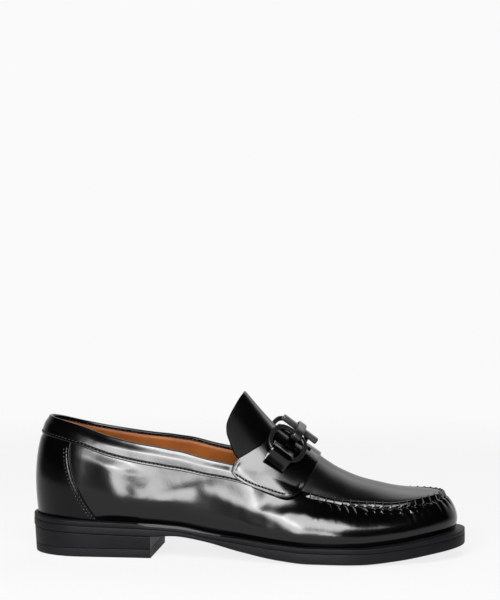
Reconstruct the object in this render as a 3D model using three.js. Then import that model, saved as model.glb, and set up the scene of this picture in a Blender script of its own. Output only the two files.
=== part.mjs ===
// A man's moccasin-toe loafer, right shoe, with a ring and bar ornament on its saddle strap.
// Millimetres. +X runs from heel to toe, +Y to the inner (big toe) side, +Z up, and the shoe stands on z = 0.
import * as THREE from "three";
import { mergeVertices } from "three/addons/utils/BufferGeometryUtils.js";

// Driving dimensions.
const SOLE_LENGTH = 300;
const BALL_WIDTH = 108;
const HEEL_SEAT = 26.8; // floor to the top of the welt at the back
const SOLE_EDGE = 11.9; // outsole and welt together under the ball
const WELT_THICK = 3.6;
const WELT_WIDTH = 15; // outline to the welt's inner edge
const HEEL_LENGTH = 87; // back of the sole to the heel's breast
const HEEL_TAPER = 1.5; // how far the heel draws in towards the floor
const TOP_PIECE = 6; // rubber lift on the floor
const EDGE_ROLL = 1.4; // how far the forefoot's lower edge turns up
const EDGE_ROLL_WIDTH = 9;
const EDGE_BEVEL = 0.7;
const BACK_HEIGHT = 67.4; // welt to topline at the back
const BACK_LEAN = 7.5; // how far the topline leans over the heel
const TOE_LEAN = 9.8; // how far the toe of the seam lies behind the feather edge
const INSTEP_CROWN = 31; // rise of the instep's ridge above its seams
const CROWN_POWER = 2.1; // how flat it is across: 2 is a parabola
const FEATHER_BACK = 3.8; // welt shown at the back, sides and toe
const FEATHER_SIDE = 5.5;
const FEATHER_TOE = 6.4;
const WALL = 2; // upper leather with its lining
const SEAM_RISE = 1.5; // the raised moccasin seam
const SEAM_WIDTH = 2.6; // its flat top, down the wall
const SEAM_FLANK = 1; // its slopes
const SEAM_FADE = 8; // length over which it rises in front of the strap
const BAND_HEIGHT = 14; // collar band, topline to lower edge
const BAND_THICK = 1.1;
const COUNTER_THICK = 0.8;
const COUNTER_REACH = 24.5; // back of the sole to the counter's front edge at its top
const COUNTER_SPREAD = 24; // how much further forward that edge runs at the welt
const COUNTER_CURVE = 1.75; // how late it runs forward: 1 is straight
const STRAP_THICK = 1.8;
const STRAP_DROP = 11.2; // the strap's wing below the seam line
const THROAT_TUCK = 8; // apron under the strap's rear edge
const TONGUE_THICK = 2;
const TONGUE_RISE = 34.5; // ridge of the tongue from the strap to its top
const TONGUE_HALF_WIDTH = 23.4;
const TONGUE_DEPTH = 28.3; // how far its sides fold down
const TONGUE_ARCH = 1.9; // how flat it is across: 2 is a parabola
const TONGUE_ANGLE = 47; // degrees above level
const TONGUE_SINK = 0.25; // tongue's foot below the apron's face
const FOOT_GAP = 1.8; // tongue's foot to the apron's edge, under the strap
const TONGUE_REACH = 0.92; // share of the apron's half width that its foot covers
const INSOLE_THICK = 3.5;
const INSOLE_FIT = 0.7; // insole to the upper's wall
const RING_LONG = 28; // outside, along the shoe
const RING_WIDE = 26;
const RING_BAND = 3.2;
const RING_SQUARENESS = 2.8; // 2 is an ellipse
const RING_THICK = 2.4;
const RING_SPREAD = 12; // ridge to the middle of a ring's inner limb, along the keeper
const RING_DROP = 2.2; // how far the keeper bends down to it
const RING_RAKE = 5; // how far its outer limb lies back along the shoe
const BIT_BACK = 4; // ornament's middle behind the strap's
const LOOP_LENGTH = 15; // leather loop, along the shoe
const LOOP_THICK = 1.5;
const LOOP_SLACK = 3.2; // room for the ring's curve
const LOOP_LIFT = 1.5; // room for the strap's curve
const BAR_LENGTH = 29;
const BAR_WIDTH = 6;
const BAR_THICK = 4;
const KEEPER_WIDTH = 5.8;
const KEEPER_THICK = 1.5;
const KEEPER_LIFT = 1.4; // keeper above the strap's ridge
const KEEPER_SLACK = 0.6; // room for the rings' curve
const GAP = 0.35; // clearance between pieces that lie on each other
const BAND_GAP = 1.4; // collar band to the strap's rear edge

// Faceting.
const HEEL_STEPS = 21; // steps along one side, heel to throat
const STRAP_STEPS = 6; // throat to the strap's front edge
const TOE_STEPS = 18; // strap to toe
const WALL_STEPS = [0, 0.1, 0.22, 0.36, 0.5, 0.64, 0.77];
const APRON_STEPS = 10;
const BAND_ROWS = 5;
const COUNTER_ROWS = 7;
const COUNTER_STEPS = 12;
const TONGUE_COLUMNS = 17;
const TONGUE_BENDS = [0, 0.1, 0.22, 0.36, 0.52, 0.68, 0.84, 0.95, 1];
const RING_STEPS = 36;
const SLEEVE_BENDS = 4;
const SLEEVE_STEPS = 6;

// Sole outline: reach of the outer and inner side as shares of the ball width.
const OUTLINE = [
  { at: 0.0, outer: 0.325, inner: 0.32 },
  { at: 0.14, outer: 0.33, inner: 0.322 },
  { at: 0.27, outer: 0.333, inner: 0.305 },
  { at: 0.39, outer: 0.352, inner: 0.288 },
  { at: 0.49, outer: 0.398, inner: 0.312 },
  { at: 0.58, outer: 0.452, inner: 0.385 },
  { at: 0.66, outer: 0.49, inner: 0.458 },
  { at: 0.74, outer: 0.5, inner: 0.495 },
  { at: 0.83, outer: 0.47, inner: 0.5 },
  { at: 1.0, outer: 0.43, inner: 0.47 },
];
// Sole from the side: its underside as shares of the heel seat's height, its edge as shares of the edge's
// thickness under the ball, and how much of the edge roll it has.
const PROFILE = [
  { at: 0.0, lift: 0.679, edge: 0.723, roll: 0 },
  { at: 0.14, lift: 0.605, edge: 0.723, roll: 0 },
  { at: 0.29, lift: 0.56, edge: 0.723, roll: 0 },
  { at: 0.34, lift: 0.553, edge: 0.66, roll: 0.7 },
  { at: 0.41, lift: 0.44, edge: 0.64, roll: 1 },
  { at: 0.5, lift: 0.217, edge: 0.85, roll: 1 },
  { at: 0.59, lift: 0.055, edge: 0.98, roll: 1 },
  { at: 0.66, lift: 0, edge: 1, roll: 1 },
  { at: 0.78, lift: 0, edge: 1, roll: 1 },
  { at: 0.86, lift: 0.07, edge: 1, roll: 1 },
  { at: 0.93, lift: 0.18, edge: 1, roll: 1 },
  { at: 1.0, lift: 0.28, edge: 1, roll: 1 },
];
// Upper: the topline behind the strap and the moccasin seam before it. Rise above the welt as shares of the
// back height, distance from the sole's centre line and belly as shares of the ball width, how late the wall
// leans in (2 is a parabola), and the ridge between the seams as shares of the instep crown.
const UPPER = [
  { at: 0.0, riseOut: 1, riseIn: 1, out: 0.165, in: 0.165, belly: 0.019, lean: 3, crown: 0 },
  { at: 0.08, riseOut: 0.955, riseIn: 0.922, out: 0.196, in: 0.196, belly: 0.021, lean: 2.4, crown: 0 },
  { at: 0.18, riseOut: 0.85, riseIn: 0.862, out: 0.247, in: 0.238, belly: 0.021, lean: 2.2, crown: 0 },
  { at: 0.28, riseOut: 0.785, riseIn: 0.825, out: 0.267, in: 0.247, belly: 0.018, lean: 2.2, crown: 0.5 },
  { at: 0.4, riseOut: 0.738, riseIn: 0.805, out: 0.271, in: 0.241, belly: 0.013, lean: 2.2, crown: 0.95 },
  { at: 0.48, riseOut: 0.72, riseIn: 0.79, out: 0.276, in: 0.243, belly: 0.011, lean: 2, crown: 1.02 },
  { at: 0.56, riseOut: 0.665, riseIn: 0.735, out: 0.288, in: 0.262, belly: 0.013, lean: 1.9, crown: 0.99 },
  { at: 0.65, riseOut: 0.54, riseIn: 0.6, out: 0.294, in: 0.282, belly: 0.02, lean: 2, crown: 0.81 },
  { at: 0.74, riseOut: 0.445, riseIn: 0.495, out: 0.282, in: 0.292, belly: 0.026, lean: 2.1, crown: 0.49 },
  { at: 0.82, riseOut: 0.392, riseIn: 0.434, out: 0.264, in: 0.284, belly: 0.027, lean: 2.2, crown: 0.32 },
  { at: 0.91, riseOut: 0.345, riseIn: 0.388, out: 0.25, in: 0.262, belly: 0.024, lean: 2.2, crown: 0.18 },
  { at: 1.0, riseOut: 0.355, riseIn: 0.355, out: 0.24, in: 0.25, belly: 0.02, lean: 2.2, crown: 0.1 },
];
// Saddle strap: its rear and front edge as shares of the seam's length, from the ridge (0) over the seam
// (STRAP_SEAM) to the wing's lower edge (1).
const STRAP = [
  { at: 0.0, rear: 0.59, front: 0.692 },
  { at: 0.3, rear: 0.578, front: 0.69 },
  { at: 0.53, rear: 0.552, front: 0.682 },
  { at: 0.64, rear: 0.525, front: 0.672 },
  { at: 0.78, rear: 0.488, front: 0.657 },
  { at: 0.87, rear: 0.483, front: 0.641 },
  { at: 0.94, rear: 0.494, front: 0.623 },
  { at: 0.98, rear: 0.513, front: 0.601 },
  { at: 1.0, rear: 0.54, front: 0.575 },
];
const STRAP_SEAM = 0.78;
const WING_END = 0.9; // share of the wing that the collar band's end follows
const STRAP_ROWS = [0, 0.1, 0.2, 0.3, 0.4, 0.5, 0.6, 0.7, 0.78, 0.84, 0.9, 0.945, 0.98, 1];
const STRAP_COLUMNS = 7;
// Tongue: how far its top edge falls short of its ridge's top, as shares of the tongue's rise.
const TONGUE_EDGE = [
  { at: 0.0, fall: 0 },
  { at: 0.35, fall: 0.03 },
  { at: 0.65, fall: 0.11 },
  { at: 0.85, fall: 0.22 },
  { at: 0.95, fall: 0.36 },
  { at: 1.0, fall: 0.52 },
];

const { degToRad, lerp, clamp } = THREE.MathUtils;

// Cubic through one column of a table, monotone between its rows, so that equal rows stay flat.
function smooth(table, column, share) {
  const last = table.length - 1;
  const slope = (i) => (table[i + 1][column] - table[i][column]) / (table[i + 1].at - table[i].at);
  const tangent = (i) => {
    if (i === 0) return slope(0);
    if (i === last) return slope(last - 1);
    const before = slope(i - 1);
    const after = slope(i);
    return before * after <= 0 ? 0 : (2 * before * after) / (before + after);
  };
  let i = 0;
  while (i < last - 1 && share > table[i + 1].at) i++;
  const span = table[i + 1].at - table[i].at;
  const q = clamp((share - table[i].at) / span, 0, 1);
  const blend = q * q * (3 - 2 * q);
  const bend = span * q * (1 - q) * (tangent(i) * (1 - q) - tangent(i + 1) * q);
  return lerp(table[i][column], table[i + 1][column], blend) + bend;
}

// Both ends of the outline and of the seam are rounded off: the width there grows as on an ellipse.
const SOLE_ENDS = { heel: 0.118, toe: 0.3, toePower: 2.25 };
const SEAM_ENDS = { heel: 0.1, toe: 0.17, toePower: 2.2 };
const roundEnd = (q, power) => (q >= 1 ? 1 : (1 - (1 - Math.max(q, 0)) ** power) ** (1 / power));
const endShape = (share, ends) =>
  roundEnd(share / ends.heel, 2) * roundEnd((1 - share) / ends.toe, ends.toePower);

function halfWidth(share) {
  return ((smooth(OUTLINE, "inner", share) + smooth(OUTLINE, "outer", share)) * BALL_WIDTH) / 2;
}
function centreLine(share) {
  return ((smooth(OUTLINE, "inner", share) - smooth(OUTLINE, "outer", share)) * BALL_WIDTH) / 2;
}
const underside = (share) => smooth(PROFILE, "lift", share) * HEEL_SEAT;
const weltTop = (share) => underside(share) + smooth(PROFILE, "edge", share) * SOLE_EDGE;

// A point of the sole's outline, drawn in at the back, sides and toe. side is -1 outer, 1 inner.
function outlinePoint(share, side, back = 0, sides = back, toe = back) {
  const x = back + (SOLE_LENGTH - back - toe) * share;
  const y = centreLine(share) + side * (halfWidth(share) - sides) * endShape(share, SOLE_ENDS);
  return new THREE.Vector3(x, y, 0);
}

// The upper's lower edge on the welt.
function featherPoint(share, side) {
  const p = outlinePoint(share, side, FEATHER_BACK, FEATHER_SIDE, FEATHER_TOE);
  p.z = weltTop(share) + GAP;
  return p;
}
// Its upper edge: topline and moccasin seam in one closed curve.
const SEAM_BACK = FEATHER_BACK + BACK_LEAN;
const SEAM_LENGTH = SOLE_LENGTH - SEAM_BACK - FEATHER_TOE - TOE_LEAN;
const wallHeight = (share, side) => smooth(UPPER, side < 0 ? "riseOut" : "riseIn", share) * BACK_HEIGHT;
function seamPoint(share, side) {
  const reach = smooth(UPPER, side < 0 ? "out" : "in", share) * BALL_WIDTH;
  const y = centreLine(share) + side * reach * endShape(share, SEAM_ENDS);
  return new THREE.Vector3(SEAM_BACK + SEAM_LENGTH * share, y, weltTop(share) + GAP + wallHeight(share, side));
}

// Outward direction in plan at the feather edge.
function outward(share, side) {
  const step = 0.001;
  if (share < step) return new THREE.Vector3(-1, 0, 0);
  if (share > 1 - step) return new THREE.Vector3(1, 0, 0);
  const run = featherPoint(share + step, side).sub(featherPoint(share - step, side));
  return new THREE.Vector3(-run.y, run.x, 0).multiplyScalar(side).normalize();
}

// The upper's outer face. The wall runs from the feather edge (up 0) to the seam or topline (up 1).
function wallPoint(share, side, up) {
  const low = featherPoint(share, side);
  const high = seamPoint(share, side);
  const belly = smooth(UPPER, "belly", share) * BALL_WIDTH * 4 * up * (1 - up);
  const p = new THREE.Vector3().lerpVectors(low, high, up ** smooth(UPPER, "lean", share));
  p.z = lerp(low.z, high.z, up);
  return p.addScaledVector(outward(share, side), belly);
}
// The apron spans the seams: across runs from -1 at the outer seam to 1 at the inner one.
function apronPoint(share, across) {
  const p = new THREE.Vector3().lerpVectors(seamPoint(share, -1), seamPoint(share, 1), (across + 1) / 2);
  const crown = smooth(UPPER, "crown", share) * INSTEP_CROWN * endShape(share, SEAM_ENDS);
  p.z += crown * (1 - Math.abs(across) ** CROWN_POWER);
  return p;
}

// A sheet is a list of points and of triangles, with points that coincide made one.
function sheet(points, triangles) {
  const places = new Map();
  const kept = [];
  const index = points.map((p) => {
    const key = p.toArray().map((v) => v.toFixed(3)).join();
    if (!places.has(key)) {
      places.set(key, kept.length);
      kept.push(p);
    }
    return places.get(key);
  });
  const faces = triangles.map((t) => t.map((i) => index[i]));
  return { points: kept, faces: faces.filter(([a, b, c]) => a !== b && b !== c && c !== a), index };
}
// Triangles of a grid given row by row; they face along (next column) x (next row).
function gridFaces(rows, columns, wrap = false, first = 0) {
  const faces = [];
  for (let r = 0; r < rows - 1; r++) {
    for (let c = 0; c < (wrap ? columns : columns - 1); c++) {
      const a = first + r * columns + c;
      const b = first + r * columns + ((c + 1) % columns);
      faces.push([a, b, b + columns], [a, b + columns, a + columns]);
    }
  }
  return faces;
}
function normalsOf({ points, faces }) {
  const normals = points.map(() => new THREE.Vector3());
  for (const face of faces) {
    const [a, b, c] = face.map((i) => points[i]);
    const normal = new THREE.Vector3().subVectors(b, a).cross(new THREE.Vector3().subVectors(c, a));
    for (const i of face) normals[i].add(normal);
  }
  return normals.map((n) => n.normalize());
}
function geometryOf(points, faces) {
  const geometry = new THREE.BufferGeometry();
  const numbers = points.flatMap((p) => p.toArray());
  geometry.setAttribute("position", new THREE.Float32BufferAttribute(numbers, 3));
  geometry.setIndex(faces.flat());
  return mergeVertices(geometry, 1e-4);
}
// A solid between two offsets of a sheet. Each offset is a number, or a list with one for each point.
function thicken(form, outer, inner) {
  const normals = normalsOf(form);
  const at = (offset, i) => (Array.isArray(offset) ? offset[i] : offset);
  const pushed = (offset) => form.points.map((p, i) => p.clone().addScaledVector(normals[i], at(offset, i)));
  const count = form.points.length;
  const edges = new Map();
  const faces = [];
  for (const [a, b, c] of form.faces) {
    faces.push([a, b, c], [c + count, b + count, a + count]);
    for (const [p, q] of [[a, b], [b, c], [c, a]]) {
      if (!edges.delete(`${q},${p}`)) edges.set(`${p},${q}`, [p, q]);
    }
  }
  for (const [p, q] of edges.values()) faces.push([q, p, p + count], [q, p + count, q + count]);
  return geometryOf([...pushed(outer), ...pushed(inner)], faces);
}

// Stations along one side: close together at heel and toe, with one at the throat and one at the strap's
// front edge.
const seamShare = (length) => length / SEAM_LENGTH;
const strapEdge = (edge, across) => smooth(STRAP, edge, Math.abs(across) * STRAP_SEAM);
const throatShare = (across) => strapEdge("rear", across) + seamShare(THROAT_TUCK);
const throatEnd = throatShare(1);
const seamStart = strapEdge("front", 1) + seamShare(2 * GAP);
const quarter = (i, steps) => (Math.PI / 2) * (i / steps);
const STATIONS = [];
for (let i = 0; i < HEEL_STEPS; i++) STATIONS.push(throatEnd * (1 - Math.cos(quarter(i, HEEL_STEPS))));
for (let i = 0; i < STRAP_STEPS; i++) STATIONS.push(lerp(throatEnd, seamStart, i / STRAP_STEPS));
for (let i = 0; i <= TOE_STEPS; i++) STATIONS.push(lerp(seamStart, 1, Math.sin(quarter(i, TOE_STEPS))));

// A closed curve: the outer side from heel to toe, then the inner side back.
function ring(pointAt, shares = STATIONS) {
  const outer = shares.map((share) => pointAt(share, -1));
  const inner = shares.map((share) => pointAt(share, 1));
  const closesAtToe = outer.at(-1).distanceTo(inner.at(-1)) < 1e-3;
  return [...outer, ...inner.slice(1, closesAtToe ? -1 : undefined).reverse()];
}
// Triangles straight across a closed curve, from side to side.
function capFaces(count, first, up) {
  const faces = [];
  for (let a = 0, d = count; a + 1 <= d - 1; a++, d--) {
    const [near, next, far, back] = [a, a + 1, d - 1, d % count].map((i) => i + first);
    if (near !== back) faces.push([near, far, back]);
    if (next !== far) faces.push([near, next, far]);
  }
  return up ? faces : faces.map((face) => face.reverse());
}
// A solid plate through closed curves, lowest first.
function plate(rings) {
  const count = rings[0].length;
  const faces = gridFaces(rings.length, count, true);
  faces.push(...capFaces(count, 0, false), ...capFaces(count, (rings.length - 1) * count, true));
  return geometryOf(rings.flat(), faces);
}
const lifted = (p, z) => p.setZ(z);

function outsole() {
  const inner = EDGE_ROLL_WIDTH;
  const rolled = (share) => underside(share) + smooth(PROFILE, "roll", share) * EDGE_ROLL;
  return plate([
    ring((s, side) => lifted(outlinePoint(s, side, inner), underside(s))),
    ring((s, side) => lifted(outlinePoint(s, side, EDGE_BEVEL), rolled(s))),
    ring((s, side) => lifted(outlinePoint(s, side), rolled(s) + EDGE_BEVEL)),
    ring((s, side) => lifted(outlinePoint(s, side), weltTop(s) - WELT_THICK)),
  ]);
}
function welt() {
  const low = (s) => weltTop(s) - WELT_THICK + GAP;
  const rings = [
    ring((s, side) => lifted(outlinePoint(s, side, WELT_WIDTH), low(s))),
    ring((s, side) => lifted(outlinePoint(s, side), low(s))),
    ring((s, side) => lifted(outlinePoint(s, side), weltTop(s) - EDGE_BEVEL)),
    ring((s, side) => lifted(outlinePoint(s, side, EDGE_BEVEL), weltTop(s))),
    ring((s, side) => lifted(outlinePoint(s, side, WELT_WIDTH), weltTop(s))),
  ];
  const count = rings[0].length;
  const { points, faces } = sheet([...rings.flat(), ...rings[0]], gridFaces(rings.length + 1, count, true));
  return geometryOf(points, faces);
}
function insole() {
  const plug = WELT_WIDTH + GAP;
  const reach = (feather) => feather + WALL + INSOLE_FIT;
  const wide = (s, side) => outlinePoint(s, side, reach(FEATHER_BACK), reach(FEATHER_SIDE), reach(FEATHER_TOE));
  return plate([
    ring((s, side) => lifted(outlinePoint(s, side, plug), weltTop(s) - WELT_THICK + GAP)),
    ring((s, side) => lifted(outlinePoint(s, side, plug), weltTop(s) + GAP)),
    ring((s, side) => lifted(wide(s, side), weltTop(s) + GAP)),
    ring((s, side) => lifted(wide(s, side), weltTop(s) + GAP + INSOLE_THICK)),
  ]);
}
// The heel's outline, drawn in by inset, cut off square at the breast.
function heelRing(inset, height) {
  const breast = (HEEL_LENGTH - inset) / (SOLE_LENGTH - inset);
  const shares = Array.from({ length: HEEL_STEPS + 1 }, (_, i) => breast * (1 - Math.cos(quarter(i, HEEL_STEPS))));
  return ring((s, side) => lifted(outlinePoint(s, side, inset, inset, 0), height(s)), shares);
}
const heelInset = (z) => HEEL_TAPER * (1 - z / HEEL_SEAT);
function heelStack() {
  return plate([
    heelRing(heelInset(TOP_PIECE + GAP), () => TOP_PIECE + GAP),
    heelRing(heelInset(underside(0)), (share) => underside(share) - GAP),
  ]);
}
function heelTopPiece() {
  return plate([heelRing(heelInset(0), () => 0), heelRing(heelInset(TOP_PIECE), () => TOP_PIECE)]);
}

// Rows up the wall: the last three carry the raised seam.
function wallRows(share, side) {
  const height = wallHeight(share, side);
  return [...WALL_STEPS, 1 - (SEAM_WIDTH + SEAM_FLANK) / height, 1 - SEAM_WIDTH / height, 1];
}
function upper() {
  const stations = ring((share, side) => new THREE.Vector3(share, side, 0));
  const rowCount = WALL_STEPS.length + 3;
  const points = [];
  const rise = [];
  const bead = (share) => SEAM_RISE * clamp((share - seamStart) / seamShare(SEAM_FADE), 0, 1);
  for (let row = 0; row < rowCount; row++) {
    for (const { x: share, y: side } of stations) {
      points.push(wallPoint(share, side, wallRows(share, side)[row]));
      rise.push(row >= rowCount - 2 ? bead(share) : 0);
    }
  }
  const wallFaces = gridFaces(rowCount, stations.length, true);
  const first = points.length;
  const across = [-1];
  for (let i = 0; i <= APRON_STEPS; i++) across.push(lerp(-1, 1, i / APRON_STEPS));
  across.push(1);
  const apronStations = STATIONS.slice(HEEL_STEPS);
  for (const station of apronStations) {
    const along = (station - throatEnd) / (1 - throatEnd);
    const width = seamPoint(station, 1).distanceTo(seamPoint(station, -1));
    const flank = Math.min((2 * SEAM_FLANK) / Math.max(width, SEAM_FLANK), 1 / APRON_STEPS);
    across.forEach((w, column) => {
      const inside = column > 0 && column < across.length - 1;
      const place = inside ? w * (1 - flank) : w;
      points.push(apronPoint(lerp(throatShare(place), 1, along), place));
      rise.push(inside ? 0 : bead(station));
    });
  }
  const apronFaces = gridFaces(apronStations.length, across.length, false, first).map((f) => f.reverse());
  const form = sheet(points, [...wallFaces, ...apronFaces]);
  const offsets = [];
  form.index.forEach((kept, i) => (offsets[kept] = rise[i]));
  return thicken(form, offsets, -WALL);
}

// Overlays follow the upper's own wall, from one side over the heel to the other.
function aroundHeel(columns, rows, reachAt, upAt) {
  const points = [];
  for (let r = 0; r < rows; r++) {
    for (let c = -columns; c <= columns; c++) {
      const side = c < 0 ? -1 : 1;
      const share = reachAt(r / (rows - 1)) * (1 - Math.cos(quarter(Math.abs(c), columns)));
      points.push(wallPoint(share, side, upAt(r / (rows - 1), share, side)));
    }
  }
  return sheet(points, gridFaces(rows, 2 * columns + 1).map((face) => face.reverse()));
}
function collarBand() {
  const reachAt = (q) => {
    const drop = Math.min(((1 - q) * BAND_HEIGHT) / STRAP_DROP, WING_END);
    return smooth(STRAP, "rear", lerp(STRAP_SEAM, 1, drop)) - seamShare(BAND_GAP);
  };
  const upAt = (q, share, side) => 1 - ((1 - q) * BAND_HEIGHT) / wallHeight(share, side);
  return thicken(aroundHeel(HEEL_STEPS + 1, BAND_ROWS, reachAt, upAt), GAP + BAND_THICK, GAP);
}
function heelCounter() {
  const reachAt = (q) => (COUNTER_REACH + COUNTER_SPREAD * (1 - q) ** COUNTER_CURVE) / SOLE_LENGTH;
  const upAt = (q, share, side) => q * (1 - (BAND_HEIGHT + GAP) / wallHeight(share, side));
  return thicken(aroundHeel(COUNTER_STEPS, COUNTER_ROWS, reachAt, upAt), GAP + COUNTER_THICK, GAP);
}

// A point of the upper under the strap: over the apron, past the seam and down the wall.
function strapPoint(share, along) {
  const q = Math.abs(along);
  if (q <= STRAP_SEAM) return apronPoint(share, along / STRAP_SEAM);
  const side = Math.sign(along);
  const drop = (STRAP_DROP * (q - STRAP_SEAM)) / (1 - STRAP_SEAM);
  return wallPoint(share, side, 1 - drop / wallHeight(share, side));
}
function saddleStrap() {
  const rows = [...STRAP_ROWS.slice(1).map((q) => -q).reverse(), ...STRAP_ROWS];
  const points = [];
  for (const along of rows) {
    const [rear, front] = ["rear", "front"].map((edge) => smooth(STRAP, edge, Math.abs(along)));
    for (let c = 0; c < STRAP_COLUMNS; c++) {
      points.push(strapPoint(lerp(rear, front, c / (STRAP_COLUMNS - 1)), along));
    }
  }
  return thicken(sheet(points, gridFaces(rows.length, STRAP_COLUMNS)), GAP + STRAP_THICK, GAP);
}

// The tongue's foot lies against the apron's edge under the strap. From the strap's rear edge it bends up to
// an arched top.
function tongue() {
  const rise = new THREE.Vector3(-1, 0, 0).applyAxisAngle(new THREE.Vector3(0, 1, 0), degToRad(TONGUE_ANGLE));
  const down = new THREE.Vector3(-rise.z, 0, rise.x);
  const ridge = apronPoint(strapEdge("rear", 0), 0);
  const topPoint = (a) => {
    const fall = smooth(TONGUE_EDGE, "fall", Math.abs(a));
    return ridge.clone()
      .addScaledVector(rise, TONGUE_RISE * (1 - fall))
      .addScaledVector(down, TONGUE_DEPTH * Math.abs(a) ** TONGUE_ARCH)
      .add(new THREE.Vector3(0, TONGUE_HALF_WIDTH * a, 0));
  };
  const footPoint = (a, forward) => {
    const across = a * TONGUE_REACH;
    const p = apronPoint(strapEdge("rear", across) + seamShare(forward), across);
    return p.setZ(p.z - TONGUE_SINK);
  };
  const points = [];
  const places = Array.from({ length: TONGUE_COLUMNS }, (_, c) => lerp(-1, 1, c / (TONGUE_COLUMNS - 1)));
  for (const forward of [THROAT_TUCK - FOOT_GAP, THROAT_TUCK / 2]) {
    for (const a of places) points.push(footPoint(a, forward));
  }
  for (const t of TONGUE_BENDS) {
    for (const a of places) {
      const heading = footPoint(a, -THROAT_TUCK / 2);
      const low = footPoint(a, 0).lerp(heading, t);
      points.push(low.lerp(heading.lerp(topPoint(a), t), t));
    }
  }
  return thicken(sheet(points, gridFaces(TONGUE_BENDS.length + 2, TONGUE_COLUMNS)), 0, -TONGUE_THICK);
}

// The ornament stands in its own frame: x down the ridge to the toe, y to the inner side, z off the strap.
function strapTop(share, along) {
  const step = 0.004;
  const across = strapPoint(share, along + step).sub(strapPoint(share, along - step));
  const down = strapPoint(share + step, along).sub(strapPoint(share - step, along));
  const normal = down.clone().cross(across).normalize();
  const point = strapPoint(share, along).addScaledVector(normal, GAP + STRAP_THICK);
  return { point, normal, down: down.normalize() };
}
const bitShare = (strapEdge("rear", 0) + strapEdge("front", 0)) / 2 - seamShare(BIT_BACK);
const ridge = strapTop(bitShare, 0);
const acrossRidge = ridge.normal.clone().cross(ridge.down).normalize();
const keeperRadius = RING_SPREAD ** 2 / (2 * RING_DROP);
const barRoom = (BAR_WIDTH / 2) ** 2 / keeperRadius;
const keeperHalfHigh = Math.max(BAR_THICK, Math.hypot(RING_BAND, RING_THICK)) / 2 + GAP + barRoom;
const barMiddle = ridge.point.clone().addScaledVector(ridge.normal, KEEPER_LIFT + KEEPER_THICK + keeperHalfHigh);

// Where a ring lies: its inner limb in the keeper, its outer limb on the strap, one ring across from there.
function ringSeat(side) {
  const turn = RING_SPREAD / keeperRadius;
  const innerLimb = barMiddle.clone()
    .addScaledVector(acrossRidge, side * keeperRadius * Math.sin(turn))
    .addScaledVector(ridge.normal, keeperRadius * (Math.cos(turn) - 1));
  const limbAt = (along) => {
    let share = bitShare;
    for (let i = 0; i < 6; i++) {
      const ahead = strapTop(share, side * along).point.sub(ridge.point).dot(ridge.down);
      share -= (ahead + RING_RAKE) / (SEAM_LENGTH * ridge.down.x);
    }
    const seat = strapTop(share, side * along);
    return seat.point.addScaledVector(seat.normal, LOOP_THICK + RING_THICK / 2 + 2 * GAP + LOOP_LIFT);
  };
  let [near, far] = [0.1, STRAP_SEAM];
  for (let i = 0; i < 30; i++) {
    const middle = (near + far) / 2;
    if (limbAt(middle).distanceTo(innerLimb) < RING_WIDE - RING_BAND) near = middle;
    else far = middle;
  }
  const outerLimb = limbAt(far);
  const off = ridge.down.clone().cross(outerLimb.clone().sub(innerLimb)).multiplyScalar(side).normalize();
  return { middle: innerLimb.add(outerLimb).divideScalar(2), across: off.cross(ridge.down).normalize() };
}
function placed(geometry, centre, across) {
  const off = ridge.down.clone().cross(across);
  return geometry.applyMatrix4(new THREE.Matrix4().makeBasis(ridge.down, across, off).setPosition(centre));
}
function ovalRing() {
  const oval = (long, wide) => {
    const reach = (q) => (Math.sign(q) * Math.abs(q) ** (2 / RING_SQUARENESS)) / 2;
    const points = [];
    for (let i = 0; i < RING_STEPS; i++) {
      const turn = (2 * Math.PI * i) / RING_STEPS;
      points.push(new THREE.Vector2(long * reach(Math.cos(turn)), wide * reach(Math.sin(turn))));
    }
    return points;
  };
  const shape = new THREE.Shape(oval(RING_LONG, RING_WIDE));
  shape.holes.push(new THREE.Path(oval(RING_LONG - 2 * RING_BAND, RING_WIDE - 2 * RING_BAND)));
  return new THREE.ExtrudeGeometry(shape, { depth: RING_THICK, bevelEnabled: false })
    .translate(0, 0, -RING_THICK / 2);
}
// A flat sleeve round the x axis: clear inside by the given half width and half height.
function sleeve(halfWide, halfHigh, thick, length) {
  const loop = (path, wide, high) => {
    for (const way of [1, -1]) {
      const start = way * (wide - high);
      path.absarc(start, 0, high, (-way * Math.PI) / 2, (-way * Math.PI) / 2 + Math.PI);
      for (let i = 1; i < SLEEVE_BENDS; i++) {
        path.lineTo(lerp(start, -start, i / SLEEVE_BENDS), way * high);
      }
    }
    path.closePath();
    return path;
  };
  const shape = loop(new THREE.Shape(), halfWide + thick, halfHigh + thick);
  shape.holes.push(loop(new THREE.Path(), halfWide, halfHigh));
  const settings = { depth: length, bevelEnabled: false, curveSegments: SLEEVE_STEPS };
  const geometry = new THREE.ExtrudeGeometry(shape, settings).translate(0, 0, -length / 2);
  return geometry.rotateX(Math.PI / 2).rotateZ(Math.PI / 2);
}
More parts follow.
